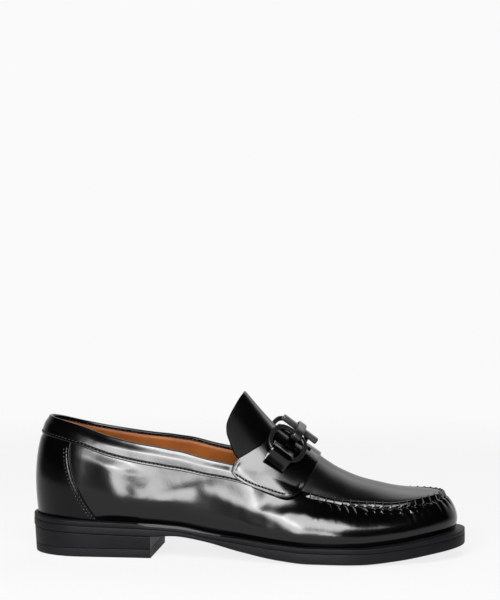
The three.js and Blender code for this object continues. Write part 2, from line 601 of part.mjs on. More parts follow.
// Bends a sleeve down at both sides round an axis that lies a radius below it.
function bent(geometry, radius) {
  const at = geometry.getAttribute("position");
  for (let i = 0; i < at.count; i++) {
    const turn = at.getY(i) / radius;
    const reach = radius + at.getZ(i);
    at.setXYZ(i, at.getX(i), reach * Math.sin(turn), reach * Math.cos(turn) - radius);
  }
  return geometry;
}
function strapLoop(seat, side) {
  const out = (RING_WIDE - RING_BAND - LOOP_SLACK) / 2;
  const halfHigh = RING_THICK / 2 + GAP;
  const halfWide = (RING_BAND + LOOP_SLACK) / 2 + halfHigh;
  return placed(
    sleeve(halfWide, halfHigh, LOOP_THICK, LOOP_LENGTH),
    seat.middle.clone().addScaledVector(seat.across, side * out),
    seat.across,
  );
}
function bitBar() {
  const long = BAR_LENGTH / 2 - EDGE_BEVEL;
  const wide = BAR_WIDTH / 2 - EDGE_BEVEL;
  const depth = BAR_THICK - 2 * EDGE_BEVEL;
  const shape = new THREE.Shape();
  shape.moveTo(-long, -wide).lineTo(long, -wide).lineTo(long, wide).lineTo(-long, wide);
  const settings = { depth, bevelSize: EDGE_BEVEL, bevelThickness: EDGE_BEVEL, bevelSegments: 1 };
  return new THREE.ExtrudeGeometry(shape, settings).translate(0, 0, -depth / 2);
}

const MATERIALS = {
  leather: new THREE.MeshStandardMaterial({ color: 0x0b0b0d, roughness: 0.18, metalness: 0 }),
  sole: new THREE.MeshStandardMaterial({ color: 0x222225, roughness: 0.55, metalness: 0 }),
  insole: new THREE.MeshStandardMaterial({ color: 0x9a5a22, roughness: 0.6, metalness: 0 }),
  rubber: new THREE.MeshStandardMaterial({ color: 0x1b1b1d, roughness: 0.8, metalness: 0 }),
  metal: new THREE.MeshStandardMaterial({ color: 0x17171a, roughness: 0.35, metalness: 0.8 }),
};
function piece(name, geometry, material) {
  const mesh = new THREE.Mesh(geometry, material);
  mesh.name = name;
  return mesh;
}

const shoe = new THREE.Group();
shoe.add(
  piece("outsole", outsole(), MATERIALS.sole),
  piece("welt", welt(), MATERIALS.sole),
  piece("heel_stack", heelStack(), MATERIALS.sole),
  piece("heel_top_piece", heelTopPiece(), MATERIALS.rubber),
  piece("insole", insole(), MATERIALS.insole),
  piece("upper", upper(), MATERIALS.leather),
  piece("tongue", tongue(), MATERIALS.leather),
  piece("collar_band", collarBand(), MATERIALS.leather),
  piece("heel_counter", heelCounter(), MATERIALS.leather),
  piece("saddle_strap", saddleStrap(), MATERIALS.leather),
);
for (const [place, side] of [["outer", -1], ["inner", 1]]) {
  const seat = ringSeat(side);
  shoe.add(
    piece(`ring_${place}`, placed(ovalRing(), seat.middle, seat.across), MATERIALS.metal),
    piece(`strap_loop_${place}`, strapLoop(seat, side), MATERIALS.leather),
  );
}
const keeperHalfWide = RING_SPREAD + keeperHalfHigh + KEEPER_SLACK;
const keeper = bent(sleeve(keeperHalfWide, keeperHalfHigh, KEEPER_THICK, KEEPER_WIDTH), keeperRadius);
shoe.add(
  piece("bit_bar", placed(bitBar(), barMiddle, acrossRidge), MATERIALS.metal),
  piece("bit_keeper", placed(keeper, barMiddle, acrossRidge), MATERIALS.metal),
);

const box = new THREE.Box3().setFromObject(shoe);
shoe.position.set(-(box.min.x + box.max.x) / 2, -(box.min.y + box.max.y) / 2, -box.min.z);

export default shoe;
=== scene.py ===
"""Looks of the loafer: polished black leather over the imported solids.

Lengths are in millimetres until a mesh is made. A share runs from heel (0) to toe (1), and a side is -1 for
the outer half and 1 for the inner one.
"""

import math

import bpy
import numpy as np
from mathutils import Matrix, Vector


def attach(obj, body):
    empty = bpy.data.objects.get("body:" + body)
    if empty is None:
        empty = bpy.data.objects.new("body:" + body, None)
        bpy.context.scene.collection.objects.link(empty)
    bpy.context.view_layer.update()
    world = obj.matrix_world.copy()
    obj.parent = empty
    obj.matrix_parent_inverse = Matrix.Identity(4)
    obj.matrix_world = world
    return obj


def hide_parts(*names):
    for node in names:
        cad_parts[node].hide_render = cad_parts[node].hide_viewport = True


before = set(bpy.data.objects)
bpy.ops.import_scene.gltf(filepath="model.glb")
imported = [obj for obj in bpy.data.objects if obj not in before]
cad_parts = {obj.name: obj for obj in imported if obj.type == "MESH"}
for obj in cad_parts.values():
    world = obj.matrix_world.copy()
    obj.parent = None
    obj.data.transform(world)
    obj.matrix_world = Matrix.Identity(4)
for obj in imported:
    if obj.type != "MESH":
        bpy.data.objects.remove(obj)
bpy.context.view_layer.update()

# The part's own dimensions and tables.
SOLE_LENGTH = 300.0
BALL_WIDTH = 108.0
HEEL_SEAT = 26.8
SOLE_EDGE = 11.9
WELT_THICK = 3.6
WELT_WIDTH = 15.0
HEEL_LENGTH = 87.0
HEEL_TAPER = 1.5
TOP_PIECE = 6.0
EDGE_ROLL = 1.4
EDGE_ROLL_WIDTH = 9.0
BACK_HEIGHT = 67.4
BACK_LEAN = 7.5
TOE_LEAN = 9.8
INSTEP_CROWN = 31.0
CROWN_POWER = 2.1
FEATHER_BACK = 3.8
FEATHER_SIDE = 5.5
FEATHER_TOE = 6.4
WALL = 2.0
BAND_HEIGHT = 14.0
BAND_THICK = 1.1
COUNTER_THICK = 0.8
COUNTER_REACH = 24.5
COUNTER_SPREAD = 24.0
COUNTER_CURVE = 1.75
STRAP_THICK = 1.8
STRAP_DROP = 11.2
THROAT_TUCK = 8.0
TONGUE_THICK = 2.0
TONGUE_RISE = 34.5
TONGUE_HALF_WIDTH = 23.4
TONGUE_DEPTH = 28.3
TONGUE_ARCH = 1.9
TONGUE_ANGLE = math.radians(47)
TONGUE_SINK = 0.25
FOOT_GAP = 1.8
TONGUE_REACH = 0.92
INSOLE_THICK = 3.5
INSOLE_FIT = 0.7
RING_LONG = 28.0
RING_WIDE = 26.0
RING_BAND = 3.2
RING_THICK = 2.4
RING_SPREAD = 12.0
RING_DROP = 2.2
RING_RAKE = 5.0
BIT_BACK = 4.0
LOOP_THICK = 1.5
LOOP_LIFT = 1.5
BAR_LENGTH = 29.0
BAR_WIDTH = 6.0
BAR_THICK = 4.0
KEEPER_WIDTH = 5.8
KEEPER_THICK = 1.5
KEEPER_LIFT = 1.4
KEEPER_SLACK = 0.6
GAP = 0.35
# Small steps that tangents are taken over, and the heights at which the wall's length is measured.
UP_STEP, SHARE_STEP, Q_STEP = 1e-3, 0.003, 0.006
UPS = np.linspace(0, 1, 61)

# at, outer, inner
OUTLINE = np.array([
    (0.0, 0.325, 0.32), (0.14, 0.33, 0.322), (0.27, 0.333, 0.305), (0.39, 0.352, 0.288), (0.49, 0.398, 0.312),
    (0.58, 0.452, 0.385), (0.66, 0.49, 0.458), (0.74, 0.5, 0.495), (0.83, 0.47, 0.5), (1.0, 0.43, 0.47),
])
OUTER, INNER = 1, 2
# at, lift, edge, roll
PROFILE = np.array([
    (0.0, 0.679, 0.723, 0), (0.14, 0.605, 0.723, 0), (0.29, 0.56, 0.723, 0), (0.34, 0.553, 0.66, 0.7),
    (0.41, 0.44, 0.64, 1), (0.5, 0.217, 0.85, 1), (0.59, 0.055, 0.98, 1), (0.66, 0, 1, 1), (0.78, 0, 1, 1),
    (0.86, 0.07, 1, 1), (0.93, 0.18, 1, 1), (1.0, 0.28, 1, 1),
])
LIFT, EDGE, ROLL = 1, 2, 3
# at, rise outer, rise inner, reach outer, reach inner, belly, lean, crown
UPPER = np.array([
    (0.0, 1, 1, 0.165, 0.165, 0.019, 3, 0),
    (0.08, 0.955, 0.922, 0.196, 0.196, 0.021, 2.4, 0),
    (0.18, 0.85, 0.862, 0.247, 0.238, 0.021, 2.2, 0),
    (0.28, 0.785, 0.825, 0.267, 0.247, 0.018, 2.2, 0.5),
    (0.4, 0.738, 0.805, 0.271, 0.241, 0.013, 2.2, 0.95),
    (0.48, 0.72, 0.79, 0.276, 0.243, 0.011, 2, 1.02),
    (0.56, 0.665, 0.735, 0.288, 0.262, 0.013, 1.9, 0.99),
    (0.65, 0.54, 0.6, 0.294, 0.282, 0.02, 2, 0.81),
    (0.74, 0.445, 0.495, 0.282, 0.292, 0.026, 2.1, 0.49),
    (0.82, 0.392, 0.434, 0.264, 0.284, 0.027, 2.2, 0.32),
    (0.91, 0.345, 0.388, 0.25, 0.262, 0.024, 2.2, 0.18),
    (1.0, 0.355, 0.355, 0.24, 0.25, 0.02, 2.2, 0.1),
])
RISE_OUT, RISE_IN, REACH_OUT, REACH_IN, BELLY, LEAN, CROWN = range(1, 8)
# at, rear, front
STRAP = np.array([
    (0.0, 0.59, 0.692), (0.3, 0.578, 0.69), (0.53, 0.552, 0.682), (0.64, 0.525, 0.672), (0.78, 0.488, 0.657),
    (0.87, 0.483, 0.641), (0.94, 0.494, 0.623), (0.98, 0.513, 0.601), (1.0, 0.54, 0.575),
])
REAR, FRONT = 1, 2
STRAP_SEAM = 0.78
# at, fall
TONGUE_EDGE = np.array([(0.0, 0), (0.35, 0.03), (0.65, 0.11), (0.85, 0.22), (0.95, 0.36), (1.0, 0.52)])


def unit(v):
    return v / np.maximum(np.linalg.norm(v, axis=-1, keepdims=True), 1e-12)


def ease(q):
    q = np.clip(q, 0, 1)
    return q * q * (3 - 2 * q)


def smooth(table, column, share):
    at, value = table[:, 0], table[:, column]
    slope = np.diff(value) / np.diff(at)
    tangent = np.zeros(len(at))
    tangent[0], tangent[-1] = slope[0], slope[-1]
    before, after = slope[:-1], slope[1:]
    both = before + after
    same = before * after > 0
    tangent[1:-1] = np.where(same, 2 * before * after / np.where(same, both, 1), 0)
    share = np.asarray(share, float)
    i = np.clip(np.searchsorted(at, share, side="left") - 1, 0, len(at) - 2)
    span = at[i + 1] - at[i]
    q = np.clip((share - at[i]) / span, 0, 1)
    bend = span * q * (1 - q) * (tangent[i] * (1 - q) - tangent[i + 1] * q)
    return value[i] + (value[i + 1] - value[i]) * ease(q) + bend


def round_end(q, power):
    return (1 - (1 - np.clip(q, 0, 1)) ** power) ** (1 / power)


def sole_shape(share):
    return round_end(share / 0.118, 2) * round_end((1 - share) / 0.3, 2.25)


def seam_shape(share):
    return round_end(share / 0.1, 2) * round_end((1 - share) / 0.17, 2.2)


def half_width(share):
    return (smooth(OUTLINE, INNER, share) + smooth(OUTLINE, OUTER, share)) * BALL_WIDTH / 2


def centre_line(share):
    return (smooth(OUTLINE, INNER, share) - smooth(OUTLINE, OUTER, share)) * BALL_WIDTH / 2


def underside(share):
    return smooth(PROFILE, LIFT, share) * HEEL_SEAT


def welt_top(share):
    return underside(share) + smooth(PROFILE, EDGE, share) * SOLE_EDGE


def outline_point(share, side, back=0.0, sides=None, toe=None, z=0.0):
    sides = back if sides is None else sides
    toe = back if toe is None else toe
    x = back + (SOLE_LENGTH - back - toe) * share
    y = centre_line(share) + side * (half_width(share) - sides) * sole_shape(share)
    return np.stack(np.broadcast_arrays(x, y, z), -1)


def feather_point(share, side):
    return outline_point(share, side, FEATHER_BACK, FEATHER_SIDE, FEATHER_TOE, welt_top(share) + GAP)


SEAM_BACK = FEATHER_BACK + BACK_LEAN
SEAM_LENGTH = SOLE_LENGTH - SEAM_BACK - FEATHER_TOE - TOE_LEAN


def by_side(side, outer, inner, share):
    return np.where(np.asarray(side) < 0, smooth(UPPER, outer, share), smooth(UPPER, inner, share))


def wall_height(share, side):
    return by_side(side, RISE_OUT, RISE_IN, share) * BACK_HEIGHT


def seam_point(share, side):
    reach = by_side(side, REACH_OUT, REACH_IN, share) * BALL_WIDTH
    y = centre_line(share) + side * reach * seam_shape(share)
    z = welt_top(share) + GAP + wall_height(share, side)
    return np.stack(np.broadcast_arrays(SEAM_BACK + SEAM_LENGTH * share, y, z), -1)


def along(fn, share):
    """Change of fn(share) for a small step that stays between 0 and 1."""
    step = np.clip(np.minimum(share, 1 - share) / 2, 1e-6, 1e-3)
    return fn(np.minimum(share + step, 1)) - fn(np.maximum(share - step, 0))


def outward(share, side):
    run = along(lambda s: feather_point(s, side), share)
    return unit(np.stack([-run[..., 1], run[..., 0], 0 * run[..., 0]], -1) * np.asarray(side)[..., None])


def as_grids(*values):
    return np.broadcast_arrays(*(np.asarray(v, float) for v in values))


def wall_point(share, side, up):
    share, side, up = as_grids(share, side, up)
    low, high = feather_point(share, side), seam_point(share, side)
    lean = smooth(UPPER, LEAN, share)
    p = low + (high - low) * (np.clip(up, 0, None) ** lean)[..., None]
    p[..., 2] = low[..., 2] + (high[..., 2] - low[..., 2]) * up
    belly = smooth(UPPER, BELLY, share) * BALL_WIDTH * 4 * up * (1 - up)
    return p + outward(share, side) * belly[..., None]


def wall_frame(share, side, up):
    """Point, outward normal and upward tangent of the wall."""
    share, side, up = as_grids(share, side, up)
    forward = unit(along(lambda s: wall_point(s, side, up), share))
    above, below = np.minimum(up + UP_STEP, 1), np.maximum(up - UP_STEP, 0)
    rising = unit(wall_point(share, side, above) - wall_point(share, side, below))
    return wall_point(share, side, up), unit(np.cross(-side[..., None] * forward, rising)), rising


def run_length(p, axis=0):
    """Length along a line of points up to each of them."""
    steps = np.linalg.norm(np.diff(p, axis=axis), axis=-1)
    return np.insert(np.cumsum(steps, axis=axis), 0, 0, axis=axis)


def up_at(share, side, depth):
    """How high up the wall a point is that lies depth below its top edge, measured along the wall."""
    grids = as_grids(share, side, depth)
    share, side, depth = (a.ravel() for a in grids)
    _, first, which = np.unique(share + 2 * side, return_index=True, return_inverse=True)
    length = run_length(wall_point(share[first, None], side[first, None], UPS), 1)
    out = np.empty(len(share))
    order = np.argsort(which, kind="stable")
    for row, members in zip(length, np.split(order, np.cumsum(np.bincount(which))[:-1])):
        out[members] = np.interp(row[-1] - depth[members], row, UPS)
    return out.reshape(grids[0].shape)


def wall_length(share, side):
    return run_length(wall_point(share[:, None], side[:, None], UPS), 1)[:, -1]


def apron_point(share, across):
    share, across = as_grids(share, across)
    low, high = seam_point(share, -1.0), seam_point(share, 1.0)
    p = low + (high - low) * ((across + 1) / 2)[..., None]
    crown = smooth(UPPER, CROWN, share) * INSTEP_CROWN * seam_shape(share)
    p[..., 2] += crown * (1 - np.abs(across) ** CROWN_POWER)
    return p


def strap_edge(column, across):
    return smooth(STRAP, column, np.abs(across) * STRAP_SEAM)


def throat_share(across):
    return strap_edge(REAR, across) + THROAT_TUCK / SEAM_LENGTH


def strap_point(share, q):
    """The upper's face under the strap, q from -1 (outer wing's edge) over 0 (ridge) to 1."""
    share, q = as_grids(share, q)
    size = np.abs(q)
    side = np.where(q < 0, -1.0, 1.0)
    over = apron_point(share, np.clip(q / STRAP_SEAM, -1, 1))
    drop = STRAP_DROP * np.clip(size - STRAP_SEAM, 0, None) / (1 - STRAP_SEAM)
    wing = wall_point(share, side, 1 - drop / wall_height(share, side))
    return np.where((size <= STRAP_SEAM)[..., None], over, wing)


def strap_frame(share, q):
    """Point, outward normal and downward tangent of the face under the strap."""
    down = strap_point(share + SHARE_STEP, q) - strap_point(share - SHARE_STEP, q)
    across = strap_point(share, q + Q_STEP) - strap_point(share, q - Q_STEP)
    return strap_point(share, q), unit(np.cross(down, across)), unit(down)


# Meshes.
shares = np.linspace(0, 1, 2001)
SHIFT = np.array([
    -SOLE_LENGTH / 2,
    -(outline_point(shares, -1.0)[:, 1].min() + outline_point(shares, 1.0)[:, 1].max()) / 2,
    0.0,
])


def to_scene(points):
    return (np.asarray(points, float) + SHIFT) / 1000


def circle(count):
    return np.linspace(0, 2 * np.pi, count, endpoint=False)


def hill(x, middle, wide):
    return np.exp(-(((x - middle) / wide) ** 2))


def grid_faces(rows, columns, wrap_rows=False, wrap_columns=False, first=0):
    r, c = np.meshgrid(
        np.arange(rows if wrap_rows else rows - 1),
        np.arange(columns if wrap_columns else columns - 1),
        indexing="ij",
    )
    r2, c2 = (r + 1) % rows, (c + 1) % columns
    quads = np.stack([r * columns + c, r * columns + c2, r2 * columns + c2, r2 * columns + c], -1)
    return [tuple(f) for f in (quads.reshape(-1, 4) + first).tolist()]


def flipped(faces):
    return [tuple(reversed(f)) for f in faces]


def make(name, points, faces, materials, replaced=(), which=None, sharp=None):
    """A piece of the shoe from points in millimetres. which gives each face's material."""
    mesh = bpy.data.meshes.new(name)
    mesh.from_pydata(to_scene(points).tolist(), [], faces)
    mesh.validate()
    obj = bpy.data.objects.new(name, mesh)
    bpy.context.scene.collection.objects.link(obj)
    for material in materials:
        mesh.materials.append(material)
    if which is not None:
        mesh.polygons.foreach_set("material_index", np.asarray(which, dtype=np.int32))
    mesh.shade_smooth()
    if sharp is not None:
        mesh.set_sharp_from_angle(angle=math.radians(sharp))
    mesh.update()
    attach(obj, "root")
    if replaced:
        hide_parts(*replaced)


def grid_normals(p):
    """Normals of a grid of rows x columns, along (next column) x (next row)."""
    return unit(np.cross(np.gradient(p, axis=1), np.gradient(p, axis=0)))


def swept(sections, wrap=False):
    """Points and faces of a grid whose rows form closed sections: one section for each column."""
    rows, columns, _ = sections.shape
    faces = grid_faces(rows, columns, wrap_rows=True, wrap_columns=wrap)
    if not wrap:
        faces.append(tuple(r * columns for r in range(rows)))
        faces.append(tuple(r * columns + columns - 1 for r in reversed(range(rows))))
    return sections.reshape(-1, 3), faces


def shell(top, bottom):
    """Points and faces of a closed sheet between two grids of points."""
    rows, columns, _ = top.shape
    count = rows * columns
    faces = grid_faces(rows, columns) + flipped(grid_faces(rows, columns, first=count))
    rim = list(range(columns)) + [r * columns + columns - 1 for r in range(1, rows)]
    rim += [(rows - 1) * columns + c for c in reversed(range(columns - 1))]
    rim += [r * columns for r in reversed(range(1, rows - 1))]
    faces += [(b, a, a + count, b + count) for a, b in zip(rim, rim[1:] + rim[:1])]
    return np.concatenate([top.reshape(-1, 3), bottom.reshape(-1, 3)]), faces


def soft_sheet(p, normal, edge, top, bottom, radius):
    """A closed sheet with rounded edges, from each point's distance to the rim and the offsets of its faces."""
    middle, half = (top + bottom) / 2, (top - bottom) / 2 * round_end(edge / radius, 2)
    return shell(p + normal * (middle + half)[..., None], p + normal * (middle - half)[..., None])


def distance_to(p, line):
    """Distance of each point of a grid to the nearest point of a line."""
    parts = np.array_split(p.reshape(-1, 3), 20)
    near = [np.sqrt(((part[:, None] - line) ** 2).sum(-1).min(1)) for part in parts]
    return np.concatenate(near).reshape(p.shape[:2])


def rim_distance(p):
    """Distance of each point of a grid to the grid's border."""
    edges = (p[0], p[-1], p[:, 0], p[:, -1])
    border = [edge[:-1] * (1 - k) + edge[1:] * k for edge in edges for k in (0, 0.25, 0.5, 0.75)]
    return distance_to(p, np.concatenate([*edges, *border]))


def fold(centre, normal, rising, turn, wide, high):
    """Rows of points over a folded edge."""
    turn = turn[:, None, None]
    return centre + wide * np.cos(turn) * normal + high * np.sin(turn) * rising


def stations(first, last, spacing, side=-1.0, height=0.6):
    """Shares along one side, a set distance apart. spacing is that distance or a function of the share."""
    share = first + (last - first) * (1 - np.cos(np.pi * np.linspace(0, 1, 3001))) / 2
    gap = spacing((share[1:] + share[:-1]) / 2) if callable(spacing) else spacing
    steps = np.linalg.norm(np.diff(wall_point(share, side, height), axis=0), axis=1) / gap
    total = np.insert(np.cumsum(steps), 0, 0)
    return np.interp(np.linspace(0, total[-1], int(total[-1]) + 2), total, share)


def both_sides(outer, inner):
    """Shares of a way round the shoe, and the side that each is on."""
    return np.concatenate([outer, inner]), np.concatenate([-np.ones(len(outer)), np.ones(len(inner))])


def around(spacing):
    """Stations all the way round: outer side from heel to toe, then the inner side back."""
    return both_sides(stations(0, 1, spacing), stations(0, 1, spacing, 1.0)[1:-1][::-1])


def noise(seed, index, low, high):
    """The same pseudo-random number for the same whole numbers."""
    value = np.sin(np.asarray(index, float) * 12.9898 + seed * 78.233) * 43758.5453
    return low + (high - low) * (value - np.floor(value))


def drift(seed, t, low, high):
    """Slowly changing pseudo-random values, one for each whole t, eased between."""
    whole = np.floor(t)
    first, after = noise(seed, whole, low, high), noise(seed, whole + 1, low, high)
    return first + (after - first) * ease(t - whole)


# Materials.
def nodes_of(name):
    material = bpy.data.materials.new(name)
    material.use_nodes = True
    tree = material.node_tree
    tree.nodes.clear()
    out = tree.nodes.new("ShaderNodeOutputMaterial")
    shader = tree.nodes.new("ShaderNodeBsdfPrincipled")
    tree.links.new(shader.outputs[0], out.inputs[0])
    return material, tree, shader


def feed(tree, target, values):
    """Set or link a node's inputs, given by name or by number."""
    for key, value in values.items():
        socket = target.inputs[key]
        if isinstance(value, bpy.types.NodeSocket):
            tree.links.new(value, socket)
        else:
            socket.default_value = value


def node(tree, kind, inputs, output=0, **settings):
    """One output of a new node."""
    made = tree.nodes.new("ShaderNode" + kind)
    for key, value in settings.items():
        setattr(made, key, value)
    feed(tree, made, inputs)
    return made.outputs[output]


def ramp(tree, fac, stops):
    """A colour ramp with two stops."""
    out = node(tree, "ValToRGB", {0: fac})
    for element, (at, colour) in zip(out.node.color_ramp.elements, stops):
        element.position, element.color = at, (*colour, 1)
    return out


def maprange(tree, fac, low, high, start=0.0, stop=1.0):
    limits = {"From Min": start, "From Max": stop, "To Min": low, "To Max": high}
    return node(tree, "MapRange", {"Value": fac, **limits})


def leather(name, colours, rough, grain=0.02, wave=0.0, specular=0.5, pore=900.0):
    """Dyed leather: faint pores, slow waves in its gloss and colour."""
    material, tree, shader = nodes_of(name)
    place = node(tree, "TexCoord", {}, "Object")
    cloud = node(tree, "TexNoise", {"Vector": place, "Scale": 38.0, "Detail": 4.0, "Roughness": 0.55}, "Fac")
    pores = node(tree, "TexVoronoi", {"Vector": place, "Scale": pore}, "Distance")
    fine = node(tree, "TexNoise", {"Vector": place, "Scale": 1500.0, "Detail": 3.0}, "Fac")
    height = node(tree, "Math", {0: pores, 1: fine}, operation="ADD")
    bump = {"Height": height, "Strength": grain, "Distance": 0.0004}
    if wave:
        slow = node(tree, "TexNoise", {"Vector": place, "Scale": 55.0, "Detail": 2.0, "Roughness": 0.4}, "Fac")
        bump["Normal"] = node(tree, "Bump", {"Height": slow, "Strength": wave, "Distance": 0.002})
    feed(tree, shader, {
        "Base Color": ramp(tree, cloud, [(0.35, colours[0]), (0.7, colours[1])]),
        "Roughness": maprange(tree, cloud, rough * 0.8, rough * 1.25),
        "Specular IOR Level": specular,
        "Normal": node(tree, "Bump", bump),
    })
    return material


BLACK = ((0.0005, 0.0005, 0.0006), (0.0009, 0.0009, 0.001))
TAN = ((0.19, 0.054, 0.0075), (0.13, 0.034, 0.0045))
FOOTBED = ((0.15, 0.042, 0.007), (0.1, 0.027, 0.004))
THREAD = ((0.001, 0.001, 0.0012), (0.002, 0.002, 0.0022))
# Near-black for the stitch holes: painted shade of the holes and the dimples round them.
HOLE_SHADE = ((0.0003, 0.0003, 0.0003), (0.0004, 0.0004, 0.0004))
SOLE = ((0.0034, 0.0034, 0.0041), (0.0048, 0.0048, 0.0056))
UNDERSIDE = ((0.008, 0.008, 0.009), (0.012, 0.012, 0.013))
# Lighter grey for the welt's sloped waist: painted sheen, a highlight laid into the colour.
SHEEN_GREY = ((0.06, 0.06, 0.064), (0.08, 0.08, 0.085))
RUBBER = ((0.0045, 0.0045, 0.005), (0.006, 0.006, 0.0068))
LACQUER = ((0.003, 0.003, 0.0034), (0.00405, 0.00405, 0.00459))
polished = leather("polished_leather", BLACK, 0.15, grain=0.03, wave=0.16, specular=0.36)
deep = leather("counter_finish", BLACK, 0.15, grain=0.03, wave=0.1, specular=0.2)
quiet = leather("tongue_finish", BLACK, 0.22, grain=0.03, wave=0.05, specular=0.02)
satin = leather("satin_leather", BLACK, 0.3, grain=0.05, wave=0.05, specular=0.3)
tan = leather("tan_lining", TAN, 0.5, grain=0.12, wave=0.3, specular=0.2)
footbed = leather("footbed_leather", FOOTBED, 0.5, grain=0.12, wave=0.2, specular=0.2)
thread = leather("black_thread", THREAD, 0.4, grain=0.3, pore=3000.0)
waxed = leather("waxed_thread", BLACK, 0.2, grain=0.1, pore=3000.0)
# Matte black capsules between the stitches: the needle holes are real, but their darkness is painted shade
# standing in for the sunken dimples.
hole_shade = leather("needle_hole_shade", HOLE_SHADE, 0.8, specular=0.0)
sole_black = leather("sole_edge", SOLE, 0.5, grain=0.12, specular=0.1)
sole_bottom = leather("sole_bottom", UNDERSIDE, 0.6, grain=0.25, specular=0.16)
# Painted sheen: the welt's sloped waist is given this lighter colour in place of a highlight.
painted_sheen = leather("welt_painted_sheen", SHEEN_GREY, 0.5, grain=0.1, specular=0.2)
rubber = leather("heel_rubber", RUBBER, 0.6, grain=0.3, specular=0.12)

# The tongue's ridge keeps its gloss; its hanging sides are dull.
tree = quiet.node_tree
sideways = node(tree, "SeparateXYZ", {0: node(tree, "TexCoord", {}, "Object")}, "Y")
shine = maprange(tree, sideways, 0.02, 0.4, -0.02, -0.006)
feed(tree, tree.nodes["Principled BSDF"], {"Specular IOR Level": shine})

lacquer, tree, shader = nodes_of("black_lacquer")
place = node(tree, "TexCoord", {}, "Object")
cloud = node(tree, "TexNoise", {"Vector": place, "Scale": 160.0, "Detail": 4.0}, "Fac")
feed(tree, shader, {
    "Base Color": ramp(tree, cloud, [(0.3, LACQUER[0]), (0.75, LACQUER[1])]),
    "Roughness": maprange(tree, cloud, 0.272, 0.408),
    "Specular IOR Level": 0.6,
    "Normal": node(tree, "Bump", {"Height": cloud, "Strength": 0.03, "Distance": 0.0002}),
})

# Upper: wall, raised seam and puckers.
THROAT_END = float(throat_share(1.0))
SEAM_START = float(strap_edge(FRONT, 1.0)) + 2 * GAP / SEAM_LENGTH
FINE = (1 - np.cos(np.pi * np.linspace(0, 1, 4001))) / 2
SEAM_RUN = {side: run_length(seam_point(FINE, side)) for side in (-1.0, 1.0)}
PUCKER_PITCH = 5.5
PUCKER_TOP = 4.4
PLEAT_WIDTH = 1.2
PLEAT_FALL = 4.2
BEAD_RISE = 1.5
BEAD_RUN_IN = 7.0
GATHER_RUN_IN = 30.0
GROOVE_DEPTH = 4.2
RIM = 1.0
FULLNESS = 26.84
# The wall swells at the counter's edge: x of its crest, width and height.
SWELL_AT, SWELL_WIDTH, SWELL_RISE = 61.0, 17.0, 1.7
# What is left of the wall under the deepest trough.
LEAST_WALL = 0.85
# Soft creases of the outer wall: x and z of both ends, half width, height (minus is a trough).
CREASES = [
    (96.0, 43.5, 126.0, 50.0, 3.4, -0.22),
    (104.0, 52.0, 133.0, 57.0, 4.0, 0.15),
    (84.0, 40.0, 118.0, 42.0, 6.0, 0.35),
    (128.0, 46.0, 150.0, 36.0, 5.0, 0.4),
    (70.0, 52.0, 84.0, 42.0, 5.0, -0.3),
    (150.0, 33.0, 172.0, 26.0, 3.5, -0.25),
]
# Under the strap's front corner the leather is drawn in above a line: x and z of both ends, width, depth.
DRAWN_IN = (168.0, 34.0, 212.0, 30.5, 4.6, 1.05)
DRAWN_RAGGED, DRAWN_PITCH = 2.4, 8.0


def toe_distance(share, side):
    """Length along the seam from the toe's middle."""
    outer, inner = (run[-1] - np.interp(share, FINE, run) for run in (SEAM_RUN[-1.0], SEAM_RUN[1.0]))
    return np.where(side < 0, outer, inner)


def seam_share_at(distance, side):
    return np.interp(SEAM_RUN[side][-1] - distance, SEAM_RUN[side], FINE)


def bead_at(share):
    return ease((share - SEAM_START) * SEAM_LENGTH / BEAD_RUN_IN)


def bead_hump(share, depth):
    """How far the raised seam stands over the wall's plain top edge."""
    return bead_at(share) * BEAD_RISE * (1 - ease((depth - 1.6) / 2.6))


def off_line(p, x1, z1, x2, z2):
    """How far points lie above a line on the shoe's side, and how far beyond its ends."""
    size = math.hypot(x2 - x1, z2 - z1)
    run_x, run_z = (x2 - x1) / size, (z2 - z1) / size
    x, z = p[..., 0] - x1, p[..., 2] - z1
    t = x * run_x + z * run_z
    return z * run_x - x * run_z, np.maximum(np.maximum(-t, t - size), 0)


def creases(p):
    out = 0
    for *ends, wide, high in CREASES:
        off, beyond = off_line(p, *ends)
        out = out + high * hill(off, 0, wide) * hill(beyond, 0, 1.6 * wide)
    *ends, wide, high = DRAWN_IN
    off, beyond = off_line(p, *ends)
    ragged = DRAWN_RAGGED * (drift(41, p[..., 0] / DRAWN_PITCH, 0, 1) - 0.5)
    return out - high * (1 - hill(np.maximum(off + ragged, 0), 0, wide)) * hill(beyond, 0, DRAWN_PITCH)


